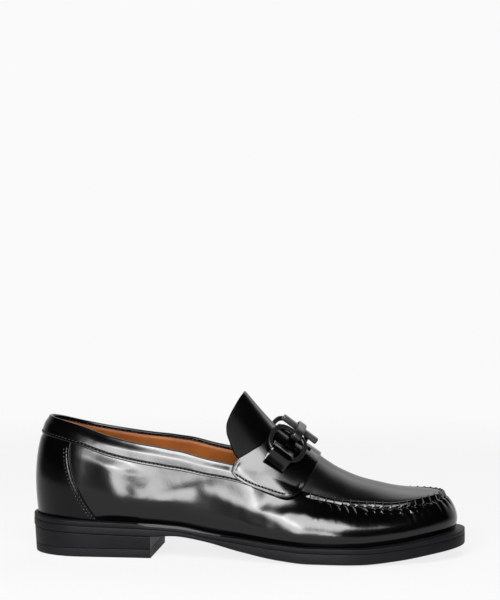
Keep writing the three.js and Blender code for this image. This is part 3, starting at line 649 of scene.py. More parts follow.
def relief(share, side, depth, up, p):
    """How far the wall stands out from its plain form: fuller low down, groove, puckers, soft creases."""
    toe = toe_distance(share, side)
    turn = toe / PUCKER_PITCH + 0.18 * drift(11, toe / 9 + 31 * side, -1, 1)
    seed = turn + 57 * side
    near_strap = ease((toe - 62) / 45)
    reach = drift(3, seed, 4.5, 8.0) + near_strap * drift(7, seed, 2.5, 7.5)
    strength = drift(5, seed, 0.9, 1.5) + 0.6 * near_strap
    ridge = np.abs(np.sin(np.pi * turn)) ** 0.75 - 0.55
    fade = ease((depth - 3.2) / 1.4) * hill(np.maximum(depth, PUCKER_TOP), PUCKER_TOP, reach)
    bead = bead_at(share)
    gather = bead * ease((share - SEAM_START) * SEAM_LENGTH / GATHER_RUN_IN)
    nearest = np.round(turn) + 57 * side
    pleat = (turn - np.round(turn)) * PUCKER_PITCH
    low = drift(13, nearest, 6.5, 9.5)
    tall = drift(17, nearest, 0.8, 1.6) * ease((toe - 14) / 10) * (1 - ease((toe - 66) / 8))
    along_pleat = ease((depth - 3.8) / (low - 3.8)) * (1 - ease((depth - low) / PLEAT_FALL))
    body = ease((share - 0.12) / 0.12) * (1 - ease((share - 0.56) / 0.16))
    out = gather * (strength * ridge * fade + tall * along_pleat * hill(pleat, 0, PLEAT_WIDTH))
    out = out - bead * 0.5 * hill(depth, GROOVE_DEPTH, 0.7) + FULLNESS * body * up * (1 - up) ** 4
    swell = SWELL_RISE * hill(p[..., 0], SWELL_AT, SWELL_WIDTH) * ease((depth - 12.5) / 9) * ease(up / 0.3)
    return np.maximum(out + np.where(side < 0, creases(p) + swell, 0), LEAST_WALL - WALL)


def upper_piece():
    share, side = around(lambda s: np.where(s < SEAM_START - 0.02, 1.7, 0.5))
    length = wall_length(share, side)
    near = np.concatenate([[RIM], np.arange(1.5, 12.2, 0.45)])[:, None] + 0 * length
    far = near[-1] + (length - near[-1]) * np.linspace(0, 1, 24)[1:, None]
    depth = np.concatenate([near, far])[::-1]
    up = up_at(share, side, depth)
    p, normal, rising = wall_frame(share, side, up)
    lift = unit(normal[-1] + 0.7 * rising[-1])
    outer = p + lift * bead_hump(share, depth)[..., None]
    outer = outer + normal * relief(share, side, depth, up, p)[..., None]
    turn = np.linspace(0, np.pi, 9)[1:]
    rim = fold(outer[-1] - normal[-1] * RIM, normal[-1], rising[-1], turn, RIM, RIM)
    rows = [int(round((1 - q) * (len(depth) - 1))) for q in (0.25, 0.6, 1.0)]
    inner = p[rows] - normal[rows] * (WALL - 0.5)
    tuck = outer[0] - normal[0] * 0.5 - [0, 0, GAP + 0.15]
    points, faces = swept(np.concatenate([[tuck], outer, rim, inner, [inner[-1] - [0, 0, GAP]]]), wrap=True)
    make("upper_leather", points, faces, [polished], ["upper"])


def apron_piece():
    rows = stations(THROAT_END, 0.9992, 1.0, height=1.0)
    t = (rows - THROAT_END) / (1 - THROAT_END)
    across = np.linspace(-1, 1, 81)
    across = np.sin(across * np.pi / 2) * 0.5 + across * 0.5
    start = throat_share(across)
    p = apron_point(start + (1 - start) * t[:, None], across)
    width = np.linalg.norm(seam_point(rows, 1.0) - seam_point(rows, -1.0), axis=-1)
    edge = (1 - np.abs(across)) * width[:, None] / 2
    normal = -grid_normals(p)
    dip = -0.35 * hill(edge, 0, 2.2) * bead_at(rows)[:, None]
    points, faces = shell(p + normal * dip[..., None], p - normal * WALL)
    make("apron_leather", points, flipped(faces), [satin])


def lining_piece():
    share, side = around(3.0)
    top = 2.8
    depth = top + (wall_length(share, side) - top) * np.linspace(0, 1, 20)[:, None]
    p, normal, _ = wall_frame(share, side, up_at(share, side, depth))
    sections = np.concatenate([p - normal * (WALL - 0.45), (p - normal * WALL)[::-1]])
    points, faces = swept(sections, wrap=True)
    make("lining_leather", points, faces, [tan])


# Stitches: short capsules laid in a path of points with normals.
tilt, turn = np.linspace(-np.pi / 2, np.pi / 2, 7)[:, None], circle(8)
flat = np.cos(tilt)
CAPSULE = np.stack(np.broadcast_arrays(np.sin(tilt), flat * np.cos(turn), flat * np.sin(turn)), -1)
STITCH_FLAT = 0.8


def stitches(name, centres, runs, normals, length, radius, material=thread, sink=0.0):
    """One capsule at each centre, along its run; all in one mesh."""
    run = unit(runs)
    normal = unit(normals - run * (run * normals).sum(-1, keepdims=True))
    axes = np.stack([run, np.cross(run, normal), normal], 1)
    end, wide, high = np.moveaxis(CAPSULE, -1, 0)
    end = np.sign(end) * np.abs(end) ** 0.8 * length / 2
    body = np.stack([end, wide * radius, high * radius * STITCH_FLAT - sink], -1)
    points = centres[:, None, None] + np.einsum("rck,nkj->nrcj", body, axes)
    faces = []
    for first in range(0, len(centres) * end.size, end.size):
        faces += grid_faces(*end.shape, wrap_columns=True, first=first)
    make(name, points.reshape(-1, 3), faces, [material])


def spaced(values, pitch, between=False):
    """Rows of values at a pitch along a path, the first of them, or halfway between those places."""
    length = run_length(values[0])
    at = np.interp(np.arange(pitch / 2, length[-1], pitch), length, np.arange(len(length)))
    if between:
        at = (at[:-1] + at[1:]) / 2
    low = np.floor(at).astype(int)
    high, q = np.minimum(low + 1, len(length) - 1), (at - low)[:, None]
    return [v[low] * (1 - q) + v[high] * q for v in values]


# Collar band: folded over the topline, with its facing inside.
FACING = 2.8
BAND_GROOVE = 12.1
BAND_EDGE = 13.9


def band_reach(depth):
    drop = np.clip(depth / STRAP_DROP, 0, 0.93)
    return smooth(STRAP, REAR, STRAP_SEAM + (1 - STRAP_SEAM) * drop)


def band_frame(depths, tuck):
    """Share and wall frame at each depth, from the outer strap edge round the heel to the inner one."""
    half = stations(0, 0.5, 1.5) / 0.5
    fraction = np.concatenate([-half[::-1], half[1:]])
    side = np.where(fraction < 0, -1.0, 1.0)
    share = np.abs(fraction) * (band_reach(depths) + tuck / SEAM_LENGTH)[:, None]
    slim = 1 - 0.2 * ease((share - 0.3) / 0.18)
    return share, *wall_frame(share, side, up_at(share, side, depths[:, None] * slim))


def band_piece():
    edge_rows = [BAND_EDGE, 13.75, 13.5, 13.1, 12.7, 12.3, 11.9, 11.5, 11.1, 10.7]
    depth = np.concatenate([edge_rows, np.linspace(10, 1, 14)])
    share, p, normal, rising = band_frame(depth, 3.5)
    under = ease(((share - band_reach(depth)[:, None]) * SEAM_LENGTH + 0.5) / 3.0)
    depth = depth[:, None]
    high, low = 0.35, -(WALL + 0.12)
    offset = high + (GAP + BAND_THICK - high) * ease((depth - 1) / 6)
    offset = offset * (0.15 + 0.85 * round_end((BAND_EDGE - depth) / 0.55, 2))
    offset = (offset - 0.3 * hill(depth, BAND_GROOVE, 0.5)) * (1 - under) + 0.2 * under
    outer = p + normal * offset[..., None]
    turn = np.linspace(0, np.pi, 12)[1:-1]
    rim = fold(p[-1] + normal[-1] * (high + low) / 2, normal[-1], rising[-1], turn, (high - low) / 2, 1.0)
    depth = FACING - np.array([2.4, 1.9, 1.4, 0.9, 0.5, 0.2, 0.0])
    _, q, qn, _ = band_frame(depth, 3.5)
    inner = q - qn * (WALL - 0.25 + 0.37 * round_end((FACING - depth) / 0.5, 2)[:, None, None])
    back = [q[-1] - qn[-1] * (WALL - 0.5), q[0] - qn[0] * (WALL - 0.7)]
    back += [p[-1] - normal[-1] * 0.1, p[0] + normal[0] * 0.02]
    points, faces = swept(np.concatenate([outer, rim, inner, back]))
    make("collar_band_leather", points, faces, [polished], ["collar_band"])


def band_stitches():
    pitch = 2.75
    _, p, normal, _ = band_frame(np.array([BAND_GROOVE, FACING - 0.8]), -1.5)
    rows = [(path, np.gradient(path, axis=0), n) for path, n in zip(p, normal)]
    high = GAP + BAND_THICK - 0.02
    path, run, n = spaced(rows[0], pitch)
    slant = unit(run) + 0.35 * np.cross(n, unit(run))
    stitches("band_stitches", path + n * high, slant, n, pitch * 0.62, 0.4)
    # Dark capsules between the stitches: painted shade of the needle holes.
    between = spaced(rows[0], pitch, between=True)[0]
    stitches("band_hole_shades", between + n[:-1] * (high - 0.1), run[:-1], n[:-1], 0.9, 0.55, hole_shade)
    path, run, n = spaced(rows[1], pitch)
    stitches("facing_stitches", path - n * (WALL + 0.2), run, -n, pitch * 0.7, 0.26)


# Heel counter.
COUNTER_ROWS = (2.2, 4.6)


def counter_piece():
    q = np.linspace(0, 1, 60)
    reach = (COUNTER_REACH + COUNTER_SPREAD * (1 - q) ** COUNTER_CURVE) / SOLE_LENGTH
    base = stations(0, 0.12, 1.4) / 0.12
    tip = 1 - np.array([0, 0.06, 0.2, 0.45, 0.8, 1.3, 1.8, 2.3, 2.8, 3.4, 4.1, 4.5, 4.9, 5.4]) / 60
    base = np.unique(np.concatenate([base[base < tip.min()], tip]))
    fraction = np.concatenate([-base[::-1], base[1:]])
    side = np.where(fraction < 0, -1.0, 1.0)
    share = np.abs(fraction) * reach[:, None]
    p, normal, _ = wall_frame(share, side, q[:, None] * (1 - (BAND_HEIGHT - 2.5) / wall_height(share, side)))
    arc = run_length(p, 1)
    edge = np.minimum(arc, arc[:, -1:] - arc)
    grooves = sum(0.25 * hill(edge, row, 0.5) for row in COUNTER_ROWS)
    sunk = 1 - 0.75 * ease((q - 0.9) / 0.1)[:, None]
    offset = ((GAP + COUNTER_THICK) * round_end(edge / 0.6, 2) - grooves) * sunk
    outer = p + normal * offset[..., None]
    outer[0, :, 2] -= GAP
    points, faces = shell(outer, p - normal * 0.2)
    make("heel_counter_leather", points, faces, [deep], ["heel_counter"])

    stitched, rows = q < 0.93, []
    for step in (1, -1):
        distance = arc if step == 1 else (arc[:, -1:] - arc)[:, ::-1]
        for row in COUNTER_ROWS:
            path, n = (
                np.array([
                    [np.interp(row, d, v[:, k]) for k in range(3)] for d, v in zip(distance, grid[:, ::step])
                ])
                for grid in (p, normal)
            )
            path, n = path[stitched], n[stitched]
            rows.append(spaced((path, np.gradient(path, axis=0), n), 2.6))
    path, run, n = (np.concatenate(v) for v in zip(*rows))
    stitches("counter_stitches", path + n * (GAP + COUNTER_THICK - 0.05), run, n, 1.7, 0.42)


# Saddle strap.
STRAP_GROOVE = 2.5


def strap_piece():
    edge_steps = np.array([0, 0.07, 0.2, 0.4, 0.65, 0.95, 1.3, 1.7, 2.1, 2.5, 3.0])
    wing = 1 - edge_steps / STRAP_DROP * (1 - STRAP_SEAM)
    half = np.concatenate([np.linspace(0, wing.min(), 62)[:-1], wing[::-1]])
    q = np.concatenate([-half[::-1], half[1:]])[:, None]
    rear, front = smooth(STRAP, REAR, np.abs(q)), smooth(STRAP, FRONT, np.abs(q))
    steps = edge_steps / ((front - rear) * SEAM_LENGTH)
    first, last = steps[:, -1:], 1 - steps[:, -1:]
    middle = first + (last - first) * np.linspace(0, 1, 20)[1:-1]
    fractions = np.concatenate([steps, middle, 1 - steps[:, ::-1]], 1)
    p, normal, _ = strap_frame(rear + (front - rear) * fractions, q)
    edge = rim_distance(p)
    grooves = 0.3 * hill(edge, 1.35, 0.35) + 0.2 * hill(edge, STRAP_GROOVE, 0.45)
    offset = GAP + STRAP_THICK - ease((np.abs(q) - 0.7) / 0.08) * grooves
    points, faces = soft_sheet(p, normal, edge, offset, GAP * 0.2, 0.85)
    make("saddle_strap_leather", points, faces, [polished], ["saddle_strap"])


def strap_path(side, first, last, inset):
    """Points, runs and normals on the strap, inside the edge of a wing, between parts of the way round it."""
    q = np.concatenate([np.linspace(0.6, 1, 200), np.ones(60), np.linspace(1, 0.6, 200)])
    rear, front = smooth(STRAP, REAR, q), smooth(STRAP, FRONT, q)
    share = np.concatenate([rear[:200], np.linspace(rear[200], front[200], 60), front[260:]])
    border, normal, _ = strap_frame(share, q * side)
    length = run_length(border)
    at = np.linspace(first, last, 160) * length[-1]
    border, normal = (
        np.stack([np.interp(at, length, v[:, k]) for k in range(3)], -1) for v in (border, normal)
    )
    normal, run = unit(normal), unit(np.gradient(border, axis=0))
    inward = -unit(np.cross(normal, run)) * side
    return border + inward * inset + normal * (GAP + STRAP_THICK), run, normal


def strap_stitches():
    for side, name in ((-1, "outer"), (1, "inner")):
        values = strap_path(side, 0.3, 0.72, STRAP_GROOVE)
        path, run, n = spaced(values, 2.4)
        slant = unit(run) + 0.4 * np.cross(n, unit(run))
        stitches("strap_stitches_" + name, path, slant, n, 2.0, 0.66, waxed, sink=0.02)
        # Dark capsules between the stitches: painted shade of the needle holes.
        path, run, n = spaced(values, 2.4, between=True)
        stitches("strap_hole_shades_" + name, path, run, n, 0.9, 0.85, hole_shade, sink=0.12)


# Tongue.
def tongue_piece():
    ridge = apron_point(strap_edge(REAR, 0.0), 0.0)
    rise = np.array([-math.cos(TONGUE_ANGLE), 0, math.sin(TONGUE_ANGLE)])
    down = np.array([-rise[2], 0, rise[0]])
    tip = np.array([0, 0.002, 0.006, 0.013, 0.022, 0.033])
    a = np.concatenate([tip - 1, np.linspace(-0.955, 0.955, 71), (1 - tip)[::-1]])
    top = ridge + (TONGUE_RISE * (1 - smooth(TONGUE_EDGE, 1, np.abs(a))))[:, None] * rise
    top = top + (TONGUE_DEPTH * np.abs(a) ** TONGUE_ARCH)[:, None] * down
    top[:, 1] += TONGUE_HALF_WIDTH * a

    def foot(forward):
        across = a * TONGUE_REACH
        return apron_point(strap_edge(REAR, across) + forward / SEAM_LENGTH, across) - [0, 0, TONGUE_SINK]

    low, heading = foot(0.0), foot(-THROAT_TUCK / 2)
    rows = [foot(THROAT_TUCK - FOOT_GAP), foot(THROAT_TUCK / 2)]
    for t in np.concatenate([np.linspace(0, 0.965, 44), [0.975, 0.983, 0.99, 0.995, 0.998, 1.0]]):
        first = low + (heading - low) * t
        rows.append(first + (heading + (top - heading) * t - first) * t)
    p = np.array(rows)
    edge = distance_to(p, np.concatenate([p[-1], p[:, 0], p[:, -1]]))
    points, faces = soft_sheet(p, grid_normals(p), edge, 0.0, -TONGUE_THICK, 0.9)
    inside = [min(f) >= edge.size for f in faces]
    make("tongue_leather", points, faces, [quiet, tan], ["tongue"], which=inside)


# Whipstitches over the raised seam.
WHIP_ROWS, WHIP_COLUMNS, WHIP_RADIUS = 13, 8, 0.46


def whip_stitches():
    turn, ring = np.linspace(0, 1, WHIP_ROWS), circle(WHIP_COLUMNS)[None, :, None]
    angle = np.pi * np.clip(1.15 - turn * 1.9, 0, 1)[:, None]
    depth = np.clip((turn - 0.55) / 0.45, 0, 1) * 3.6 + RIM
    radius = WHIP_RADIUS * np.sqrt(np.clip(1 - (2 * turn - 1) ** 8, 0.02, 1))[:, None, None]
    points, faces = [], []
    for side in (-1.0, 1.0):
        for distance in np.arange(PUCKER_PITCH / 2, toe_distance(SEAM_START + 0.012, side), PUCKER_PITCH):
            start, stop = seam_share_at(distance - 0.9, side), seam_share_at(distance + 1.1, side)
            share = start + (stop - start) * turn
            p, n, r = wall_frame(share, side, up_at(share, side, depth))
            out = np.cos(angle) * n + np.sin(angle) * r
            path = p + unit(n + 0.7 * r) * bead_hump(share, depth)[:, None] - n * RIM + (RIM + 0.12) * out
            out = unit(out)
            across = np.cross(unit(np.gradient(path, axis=0)), out)
            spoke = np.cos(ring) * across[:, None] + 0.85 * np.sin(ring) * out[:, None]
            tube = path[:, None] + radius * spoke
            first = len(points) * WHIP_ROWS * WHIP_COLUMNS
            last = first + (WHIP_ROWS - 1) * WHIP_COLUMNS
            faces += grid_faces(WHIP_ROWS, WHIP_COLUMNS, wrap_columns=True, first=first)
            faces.append(tuple(reversed(range(first, first + WHIP_COLUMNS))))
            faces.append(tuple(range(last, last + WHIP_COLUMNS)))
            points.append(tube.reshape(-1, 3))
    make("whip_stitches", np.concatenate(points), faces, [thread])


# Sole, welt and heel.
def sole_loop(spacing):
    outer = stations(0, 1, spacing, height=0.0)
    return both_sides(outer, outer[1:-1][::-1])


def caps(count, first, up):
    """Faces that close a loop, from its heel end forward."""
    faces = []
    a, d = 0, count
    while a + 1 <= d - 1:
        near, after, far, back = (i + first for i in (a, a + 1, d - 1, d % count))
        if near != back:
            faces.append((near, far, back))
        if after != far:
            faces.append((near, after, far))
        a, d = a + 1, d - 1
    return faces if up else flipped(faces)


def plate(name, rings, materials, node_name, sharp=50, which=None):
    count = len(rings[0])
    sides = grid_faces(len(rings), count, wrap_columns=True)
    low, high = caps(count, 0, False), caps(count, (len(rings) - 1) * count, True)
    kinds = None if which is None else [0] * len(sides) + [which] * len(low) + [0] * len(high)
    points, faces = np.concatenate(rings), sides + low + high
    make(name, points, faces, materials, [node_name], which=kinds, sharp=sharp)


def outsole_piece():
    share, side = sole_loop(1.6)
    under, corner = underside(share), 0.9
    rolled = under + smooth(PROFILE, ROLL, share) * EDGE_ROLL
    top = welt_top(share) - WELT_THICK
    levels = [(EDGE_ROLL_WIDTH * (1 - q) + corner * q, under + (rolled - under) * q ** 2)
              for q in (0, 0.2, 0.4, 0.6, 0.8, 0.92)]
    for t in np.radians((15, 35, 55, 75, 90)):
        levels.append((corner * (1 - math.sin(t)), rolled + corner * (1 - math.cos(t))))
    levels += [(0.0, top - 0.2), (0.04, top - 0.06), (0.15, top)]
    rings = [outline_point(share, side, inset, z=z) for inset, z in levels]
    plate("outsole_leather", rings, [sole_black, sole_bottom], "outsole", which=1)


# At the outer waist the welt's top slopes to its edge, and the faces of that slope get a lighter grey: a
# painted sheen that stands in for a highlight.
WAIST_SLOPE = 1.9


def welt_piece():
    share, side = sole_loop(1.2)
    top = welt_top(share)
    low = top - WELT_THICK + GAP
    sloped = WAIST_SLOPE * ease((share - 0.24) / 0.05) * (1 - ease((share - 0.3) / 0.22)) * (side < 0)
    levels = [(WELT_WIDTH, low), (0.2, low), (0.12, low + 0.04), (0.08, low + 0.12)]
    for t in np.radians((0, 20, 40, 60, 80, 90)):
        levels.append((0.08 + 0.7 * (1 - math.cos(t)), top - 0.7 + 0.7 * math.sin(t) - sloped))
    corner = len(levels) - 1
    levels += [(2.4, top - 0.15 * sloped), (2.6, top - 0.1), (3.0, top), (WELT_WIDTH, top)]
    rows = np.array([outline_point(share, side, inset, z=z) for inset, z in levels])
    points, faces = swept(rows, wrap=True)
    # The sloped faces take the lighter grey: painted sheen standing in for a highlight.
    sheen_faces = np.zeros(rows.shape[:2], dtype=int)
    sheen_faces[corner] = sloped > 0.45
    materials = [sole_black, painted_sheen]
    make("welt_leather", points, faces, materials, ["welt"], which=sheen_faces.ravel(), sharp=50)


def insole_piece():
    share, side = sole_loop(2.0)
    base = welt_top(share) + GAP
    high = base + INSOLE_THICK
    rings = [outline_point(share, side, WELT_WIDTH + GAP, z=z) for z in (base - WELT_THICK, base)]
    for inset, z in ((0.0, base), (-0.5, high - 0.3), (0.0, high + 0.3), (1.5, high + 0.1), (3.0, high)):
        reach = WALL + INSOLE_FIT + inset
        insets = [feather + reach for feather in (FEATHER_BACK, FEATHER_SIDE, FEATHER_TOE)]
        rings.append(outline_point(share, side, *insets, z))
    plate("insole_leather", rings, [footbed], "insole")


def heel_rings(levels):
    """Curves round the heel, from the inset and the height of each. A height can be a function of the share."""
    rings = []
    for inset, height in levels:
        breast = (HEEL_LENGTH - inset) / (SOLE_LENGTH - inset)
        outer = stations(0, 0.29, 1.3, height=0.0) / 0.29 * breast
        share, side = both_sides(outer, outer[1:][::-1])
        z = height(share) if callable(height) else height
        y = centre_line(share) + side * (half_width(share) - inset) * sole_shape(share)
        rings.append(np.stack(np.broadcast_arrays(inset + (SOLE_LENGTH - inset) * share, y, z), -1))
    return rings


def heel_pieces():
    def taper(z):
        return HEEL_TAPER * (1 - z / HEEL_SEAT)

    def between(share, f):
        low = TOP_PIECE + GAP
        return low + (underside(share) - GAP - low) * f

    levels = [(taper(between(0.0, f)) + groove, lambda s, f=f: between(s, f))
              for f, groove in ((0.0, 0.1), (0.03, 0.02), (0.06, 0.0), (0.94, 0.0), (0.97, 0.02), (1.0, 0.1))]
    plate("heel_stack_leather", heel_rings(levels), [sole_black], "heel_stack", sharp=35)
    levels = [(taper(0) + 0.8, 0.0), (taper(0) + 0.2, 0.15), (taper(0), 0.7)]
    head = taper(TOP_PIECE)
    levels += [(head, TOP_PIECE - 0.15), (head + 0.03, TOP_PIECE - 0.05), (head + 0.12, TOP_PIECE)]
    plate("heel_rubber", heel_rings(levels), [rubber], "heel_top_piece", sharp=35)


# Ornament: two rings, bar, keeper and leather loops, in the frame of the strap's ridge.
def strap_top(share, q):
    p, normal, down = strap_frame(share, q)
    return p + normal * (GAP + STRAP_THICK), normal, down


BIT_SHARE = float(strap_edge(REAR, 0.0) + strap_edge(FRONT, 0.0)) / 2 - BIT_BACK / SEAM_LENGTH
ridge_point, ridge_normal, ridge_down = strap_top(BIT_SHARE, 0.0)
across_ridge = unit(np.cross(ridge_normal, ridge_down))
KEEPER_RADIUS = RING_SPREAD ** 2 / (2 * RING_DROP)
BAR_ROOM = (BAR_WIDTH / 2) ** 2 / KEEPER_RADIUS
KEEPER_HALF = max(BAR_THICK, math.hypot(RING_BAND, RING_THICK)) / 2 + GAP + BAR_ROOM
bar_middle = ridge_point + ridge_normal * (KEEPER_LIFT + KEEPER_THICK + KEEPER_HALF)


def ring_seat(side):
    """Middle of a ring, and its directions away from the keeper and off the strap."""
    turn = RING_SPREAD / KEEPER_RADIUS
    inner_limb = bar_middle + across_ridge * side * KEEPER_RADIUS * math.sin(turn)
    inner_limb = inner_limb + ridge_normal * KEEPER_RADIUS * (math.cos(turn) - 1)

    def limb(q):
        share = BIT_SHARE
        for _ in range(6):
            ahead = np.dot(strap_top(share, side * q)[0] - ridge_point, ridge_down)
            share -= (ahead + RING_RAKE) / (SEAM_LENGTH * ridge_down[0])
        p, n, _ = strap_top(share, side * q)
        return p + n * (LOOP_THICK + RING_THICK / 2 + 2 * GAP + LOOP_LIFT)

    near, far = 0.1, STRAP_SEAM
    for _ in range(30):
        middle = (near + far) / 2
        if np.linalg.norm(limb(middle) - inner_limb) < RING_WIDE - RING_BAND:
            near = middle
        else:
            far = middle
    outer_limb = limb(far)
    off = unit(np.cross(ridge_down, outer_limb - inner_limb) * side)
    return (inner_limb + outer_limb) / 2, unit(np.cross(off, ridge_down)), off


def oval(count, long, wide, power=2.8):
    """Points of a rounded oval."""
    c, s = np.cos(circle(count)), np.sin(circle(count))
    sizes = np.abs(c) ** (2 / power) * long / 2, np.abs(s) ** (2 / power) * wide / 2
    return np.stack([np.sign(c) * sizes[0], np.sign(s) * sizes[1]], -1)


def band_round(path, outward_by, along_by):
    """Where a band's section lies round a path: flat points, and how far each is to the path's side."""
    run = unit(np.roll(path, -1, 0) - np.roll(path, 1, 0))
    out = np.stack([run[:, 1], -run[:, 0]], -1)
    return path + outward_by[:, None, None] * out, along_by[:, None, None]


def ring_piece(side, name):
    middle, across, off = ring_seat(side)
    flat, aside = band_round(
        oval(112, RING_LONG - RING_BAND, RING_WIDE - RING_BAND), *oval(20, RING_BAND, RING_THICK, 4.5).T
    )
    points = middle + flat[..., :1] * ridge_down + flat[..., 1:] * across + aside * off
    points, faces = swept(points, wrap=True)
    make(name + "_metal", points, faces, [lacquer], [name])


def bar_piece():
    stops, corner = np.array([0, 0.15, 0.5, 1.0, 2.0, 6, 10, 13]), 0.8
    x = np.concatenate([-BAR_LENGTH / 2 + stops, BAR_LENGTH / 2 - stops[::-1]])
    inset = corner * (1 - round_end((BAR_LENGTH / 2 - np.abs(x)) / corner, 2))
    u, v = oval(28, BAR_WIDTH, BAR_THICK, 6).T
    wide, high = u[:, None] * (1 - 2 * inset / BAR_WIDTH), v[:, None] * (1 - 2 * inset / BAR_THICK)
    points = bar_middle + x[:, None] * ridge_down
    points, faces = swept(points + wide[..., None] * across_ridge + high[..., None] * ridge_normal)
    make("bit_bar_metal", points, flipped(faces), [lacquer], ["bit_bar"], sharp=50)


def keeper_piece():
    half_wide = RING_SPREAD + KEEPER_HALF + KEEPER_SLACK
    u, v = oval(20, KEEPER_WIDTH, KEEPER_THICK, 5).T
    path = oval(72, 2 * half_wide + KEEPER_THICK, 2 * KEEPER_HALF + KEEPER_THICK, 3.2)
    flat, aside = band_round(path, v, u)
    bend, reach = flat[..., :1] / KEEPER_RADIUS, KEEPER_RADIUS + flat[..., 1:]
    points = bar_middle + aside * ridge_down + reach * np.sin(bend) * across_ridge
    points = points + (reach * np.cos(bend) - KEEPER_RADIUS) * ridge_normal
    points, faces = swept(points, wrap=True)
    make("bit_keeper_metal", points, faces, [lacquer], ["bit_keeper"])


LOOP_HALF_LENGTH = 8.2
LOOP_HALF_THICK = 0.62
OVER_RING = RING_THICK / 2 + 0.2
# The loop's way over its ring: out from the keeper, and up off the strap.
LOOP_WAY = np.array([
    (7.8, -3.9), (6.4, -2.9), (4.8, -1.8), (3.4, -0.4), (2.3, OVER_RING + 0.5), (0.9, OVER_RING + 0.95),
    (-0.7, OVER_RING + 0.95), (-2.2, OVER_RING + 0.6), (-3.7, OVER_RING - 0.1), (-5.2, OVER_RING - 0.9),
    (-6.6, -0.7), (-7.8, -1.4),
])


def loop_piece(side, name):
    middle, across, off = ring_seat(side)
    limb = middle + across * side * (RING_WIDE - RING_BAND) / 2
    fine, knots = np.linspace(0, len(LOOP_WAY) - 1, 50), np.arange(len(LOOP_WAY))
    path = np.stack([np.interp(fine, knots, LOOP_WAY[:, k]) for k in range(2)], -1)
    for _ in range(6):
        path[1:-1] = (path[:-2] + 2 * path[1:-1] + path[2:]) / 4
    run = unit(np.gradient(path, axis=0))
    out = np.stack([-run[:, 1], run[:, 0]], -1)
    wide = np.linspace(-1, 1, 19)
    thick = LOOP_HALF_THICK * np.sqrt(1 - np.abs(wide) ** 6)
    wide, thick = (np.concatenate([a, b[-2:0:-1]])[:, None, None] for a, b in ((wide, wide), (thick, -thick)))
    flat = path + out * thick
    points = limb + wide * LOOP_HALF_LENGTH * ridge_down + side * flat[..., :1] * across + flat[..., 1:] * off
    points, faces = swept(points)
    faces = flipped(faces) if side > 0 else faces
    make(name + "_leather", points, faces, [polished], [name], sharp=60)


for build in (
    upper_piece, apron_piece, lining_piece, band_piece, band_stitches, counter_piece, strap_piece,
    strap_stitches, tongue_piece, whip_stitches, outsole_piece, welt_piece, insole_piece, heel_pieces,
):
    build()
ring_piece(-1, "ring_outer")
ring_piece(1, "ring_inner")
bar_piece()
keeper_piece()
loop_piece(-1, "strap_loop_outer")
loop_piece(1, "strap_loop_inner")

# Floor, light and camera.
scene = bpy.context.scene
scene.view_settings.view_transform = "Standard"
FLOOR_RADIUS = 0.9
FLOOR_GLOW = 0.815

paper, tree, shader = nodes_of("floor_paper")
feed(tree, shader, {
    "Base Color": (0.1, 0.1, 0.1, 1),
    "Roughness": 0.95,
    "Specular IOR Level": 0.0,
    "Emission Color": (1, 1, 1, 1),
    "Emission Strength": FLOOR_GLOW,
})
# The paper fades out towards its edge.
length = node(tree, "VectorMath", {0: node(tree, "TexCoord", {}, "Object")}, "Value", operation="LENGTH")
fade = ramp(tree, length, [(0.55, (0, 0, 0)), (0.88, (1, 1, 1))])
blend = node(tree, "MixShader", {0: fade, 1: shader.outputs[0], 2: node(tree, "BsdfTransparent", {})})
tree.links.new(blend, tree.nodes["Material Output"].inputs[0])
rim = [(FLOOR_RADIUS * math.cos(t), FLOOR_RADIUS * math.sin(t), 0) for t in circle(96)]
floor_mesh = bpy.data.meshes.new("floor")
floor_mesh.from_pydata(rim, [], [tuple(range(len(rim)))])
floor_mesh.materials.append(paper)
floor = bpy.data.objects.new("floor", floor_mesh)
scene.collection.objects.link(floor)


def direction(azimuth, elevation):
    """The way to an azimuth (0 is the camera's side, + is the toe's) and an elevation, in radians."""
    flat = math.cos(elevation)
    return Vector((math.sin(azimuth) * flat, -math.cos(azimuth) * flat, math.sin(elevation)))


def lamp(name, azimuth, elevation, distance, width, height, radiance, roll=0.0):
    """A softbox round the shoe. Its sizes are the angles at which the shoe sees them."""
    way = direction(math.radians(azimuth), math.radians(elevation))
    data = bpy.data.lights.new(name, "AREA")
    data.shape = "RECTANGLE"
    data.size = 2 * distance * math.tan(math.radians(width / 2))
    data.size_y = 2 * distance * math.tan(math.radians(height / 2))
    data.energy = radiance * math.pi * data.size * data.size_y
    obj = bpy.data.objects.new(name, data)
    obj.location = Vector((0, 0, 0.05)) + way * distance
    facing = (-way).to_track_quat("-Z", "Y").to_matrix()
    obj.rotation_euler = (facing @ Matrix.Rotation(math.radians(roll), 3, "Z")).to_euler()
    obj.visible_camera = False
    scene.collection.objects.link(obj)


# Each front lamp is a stack of growing ones, so that its reflection has a soft edge.
for size, radiance in ((0, 9), (3, 5), (7, 3.5), (12, 3)):
    lamp("key_softbox", 1.5, 36.5, 1.8 + size / 100, 14 + size, 41 + size, radiance, -45)
    lamp("low_softbox", -13.5, 12.5, 1.8 + size / 100, 13 + size * 0.7, 25 + size * 0.3, radiance, 26)
lamp("rear_softbox", 165, 42, 1.8, 50, 26, 2.2)

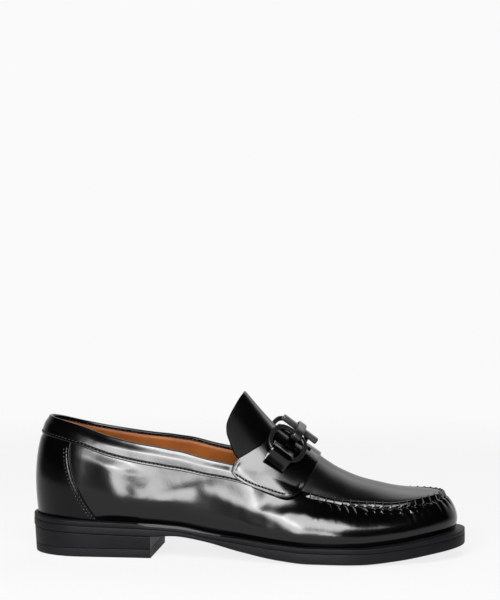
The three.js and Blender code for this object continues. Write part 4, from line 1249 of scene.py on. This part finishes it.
# The pale paper goes on to a low horizon in front and rises behind the shoe; the studio over it is dark.
world = bpy.data.worlds.new("studio")
world.use_nodes = True
scene.world = world
tree = world.node_tree
axes = node(tree, "SeparateXYZ", {0: node(tree, "TexCoord", {}, "Generated")}).node.outputs
low = ramp(tree, axes["Z"], [(0.0, (0.5, 0.5, 0.51)), (0.12, (0.0, 0.0, 0.0))])
heel_side = maprange(tree, axes["X"], 0.2, 1.0, -0.75, -0.4)
dimmed = node(tree, "VectorMath", {0: low, "Scale": heel_side}, operation="SCALE")
behind = ramp(tree, axes["Y"], [(0.25, (0, 0, 0)), (0.7, (0.9, 0.9, 0.9))])
under = ramp(tree, axes["Z"], [(0.4, (1, 1, 1)), (0.7, (0, 0, 0))])
rear = node(tree, "Mix", {0: 1, 6: behind, 7: under}, 2, data_type="RGBA", blend_type="MULTIPLY")
light = node(tree, "Mix", {0: 1, 6: dimmed, 7: rear}, 2, data_type="RGBA", blend_type="LIGHTEN")
seen = node(tree, "LightPath", {}, "Is Camera Ray")
backdrop = node(tree, "Mix", {0: seen, 6: light, 7: (0.955, 0.955, 0.955, 1)}, 2, data_type="RGBA")
tree.links.new(backdrop, tree.nodes["Background"].inputs[0])

# The photograph's view: the shoe stands low in a tall frame.
AZIMUTH, ELEVATION = math.radians(6.6), math.radians(8.2)
DISTANCE = 1.5
PIXELS_PER_METRE = 1436.0
AIM = (247.8, 487.2)
FRAME_SIZE = (500, 600)
SENSOR = 36
focal = PIXELS_PER_METRE * DISTANCE
pitch = math.atan((AIM[1] - FRAME_SIZE[1] / 2) / focal)
yaw = math.atan((AIM[0] - FRAME_SIZE[0] / 2) / focal)
data = bpy.data.cameras.new("camera")
data.sensor_width = SENSOR
data.lens = SENSOR * focal / FRAME_SIZE[1]
data.clip_end = 50
camera = bpy.data.objects.new("camera", data)
centre = Vector(to_scene([150, 0, 45]).tolist())
camera.location = centre + direction(AZIMUTH, ELEVATION) * DISTANCE
facing = -direction(AZIMUTH + yaw, ELEVATION - pitch)
camera.rotation_euler = facing.to_track_quat("-Z", "Y").to_euler()
scene.collection.objects.link(camera)
scene.camera = camera
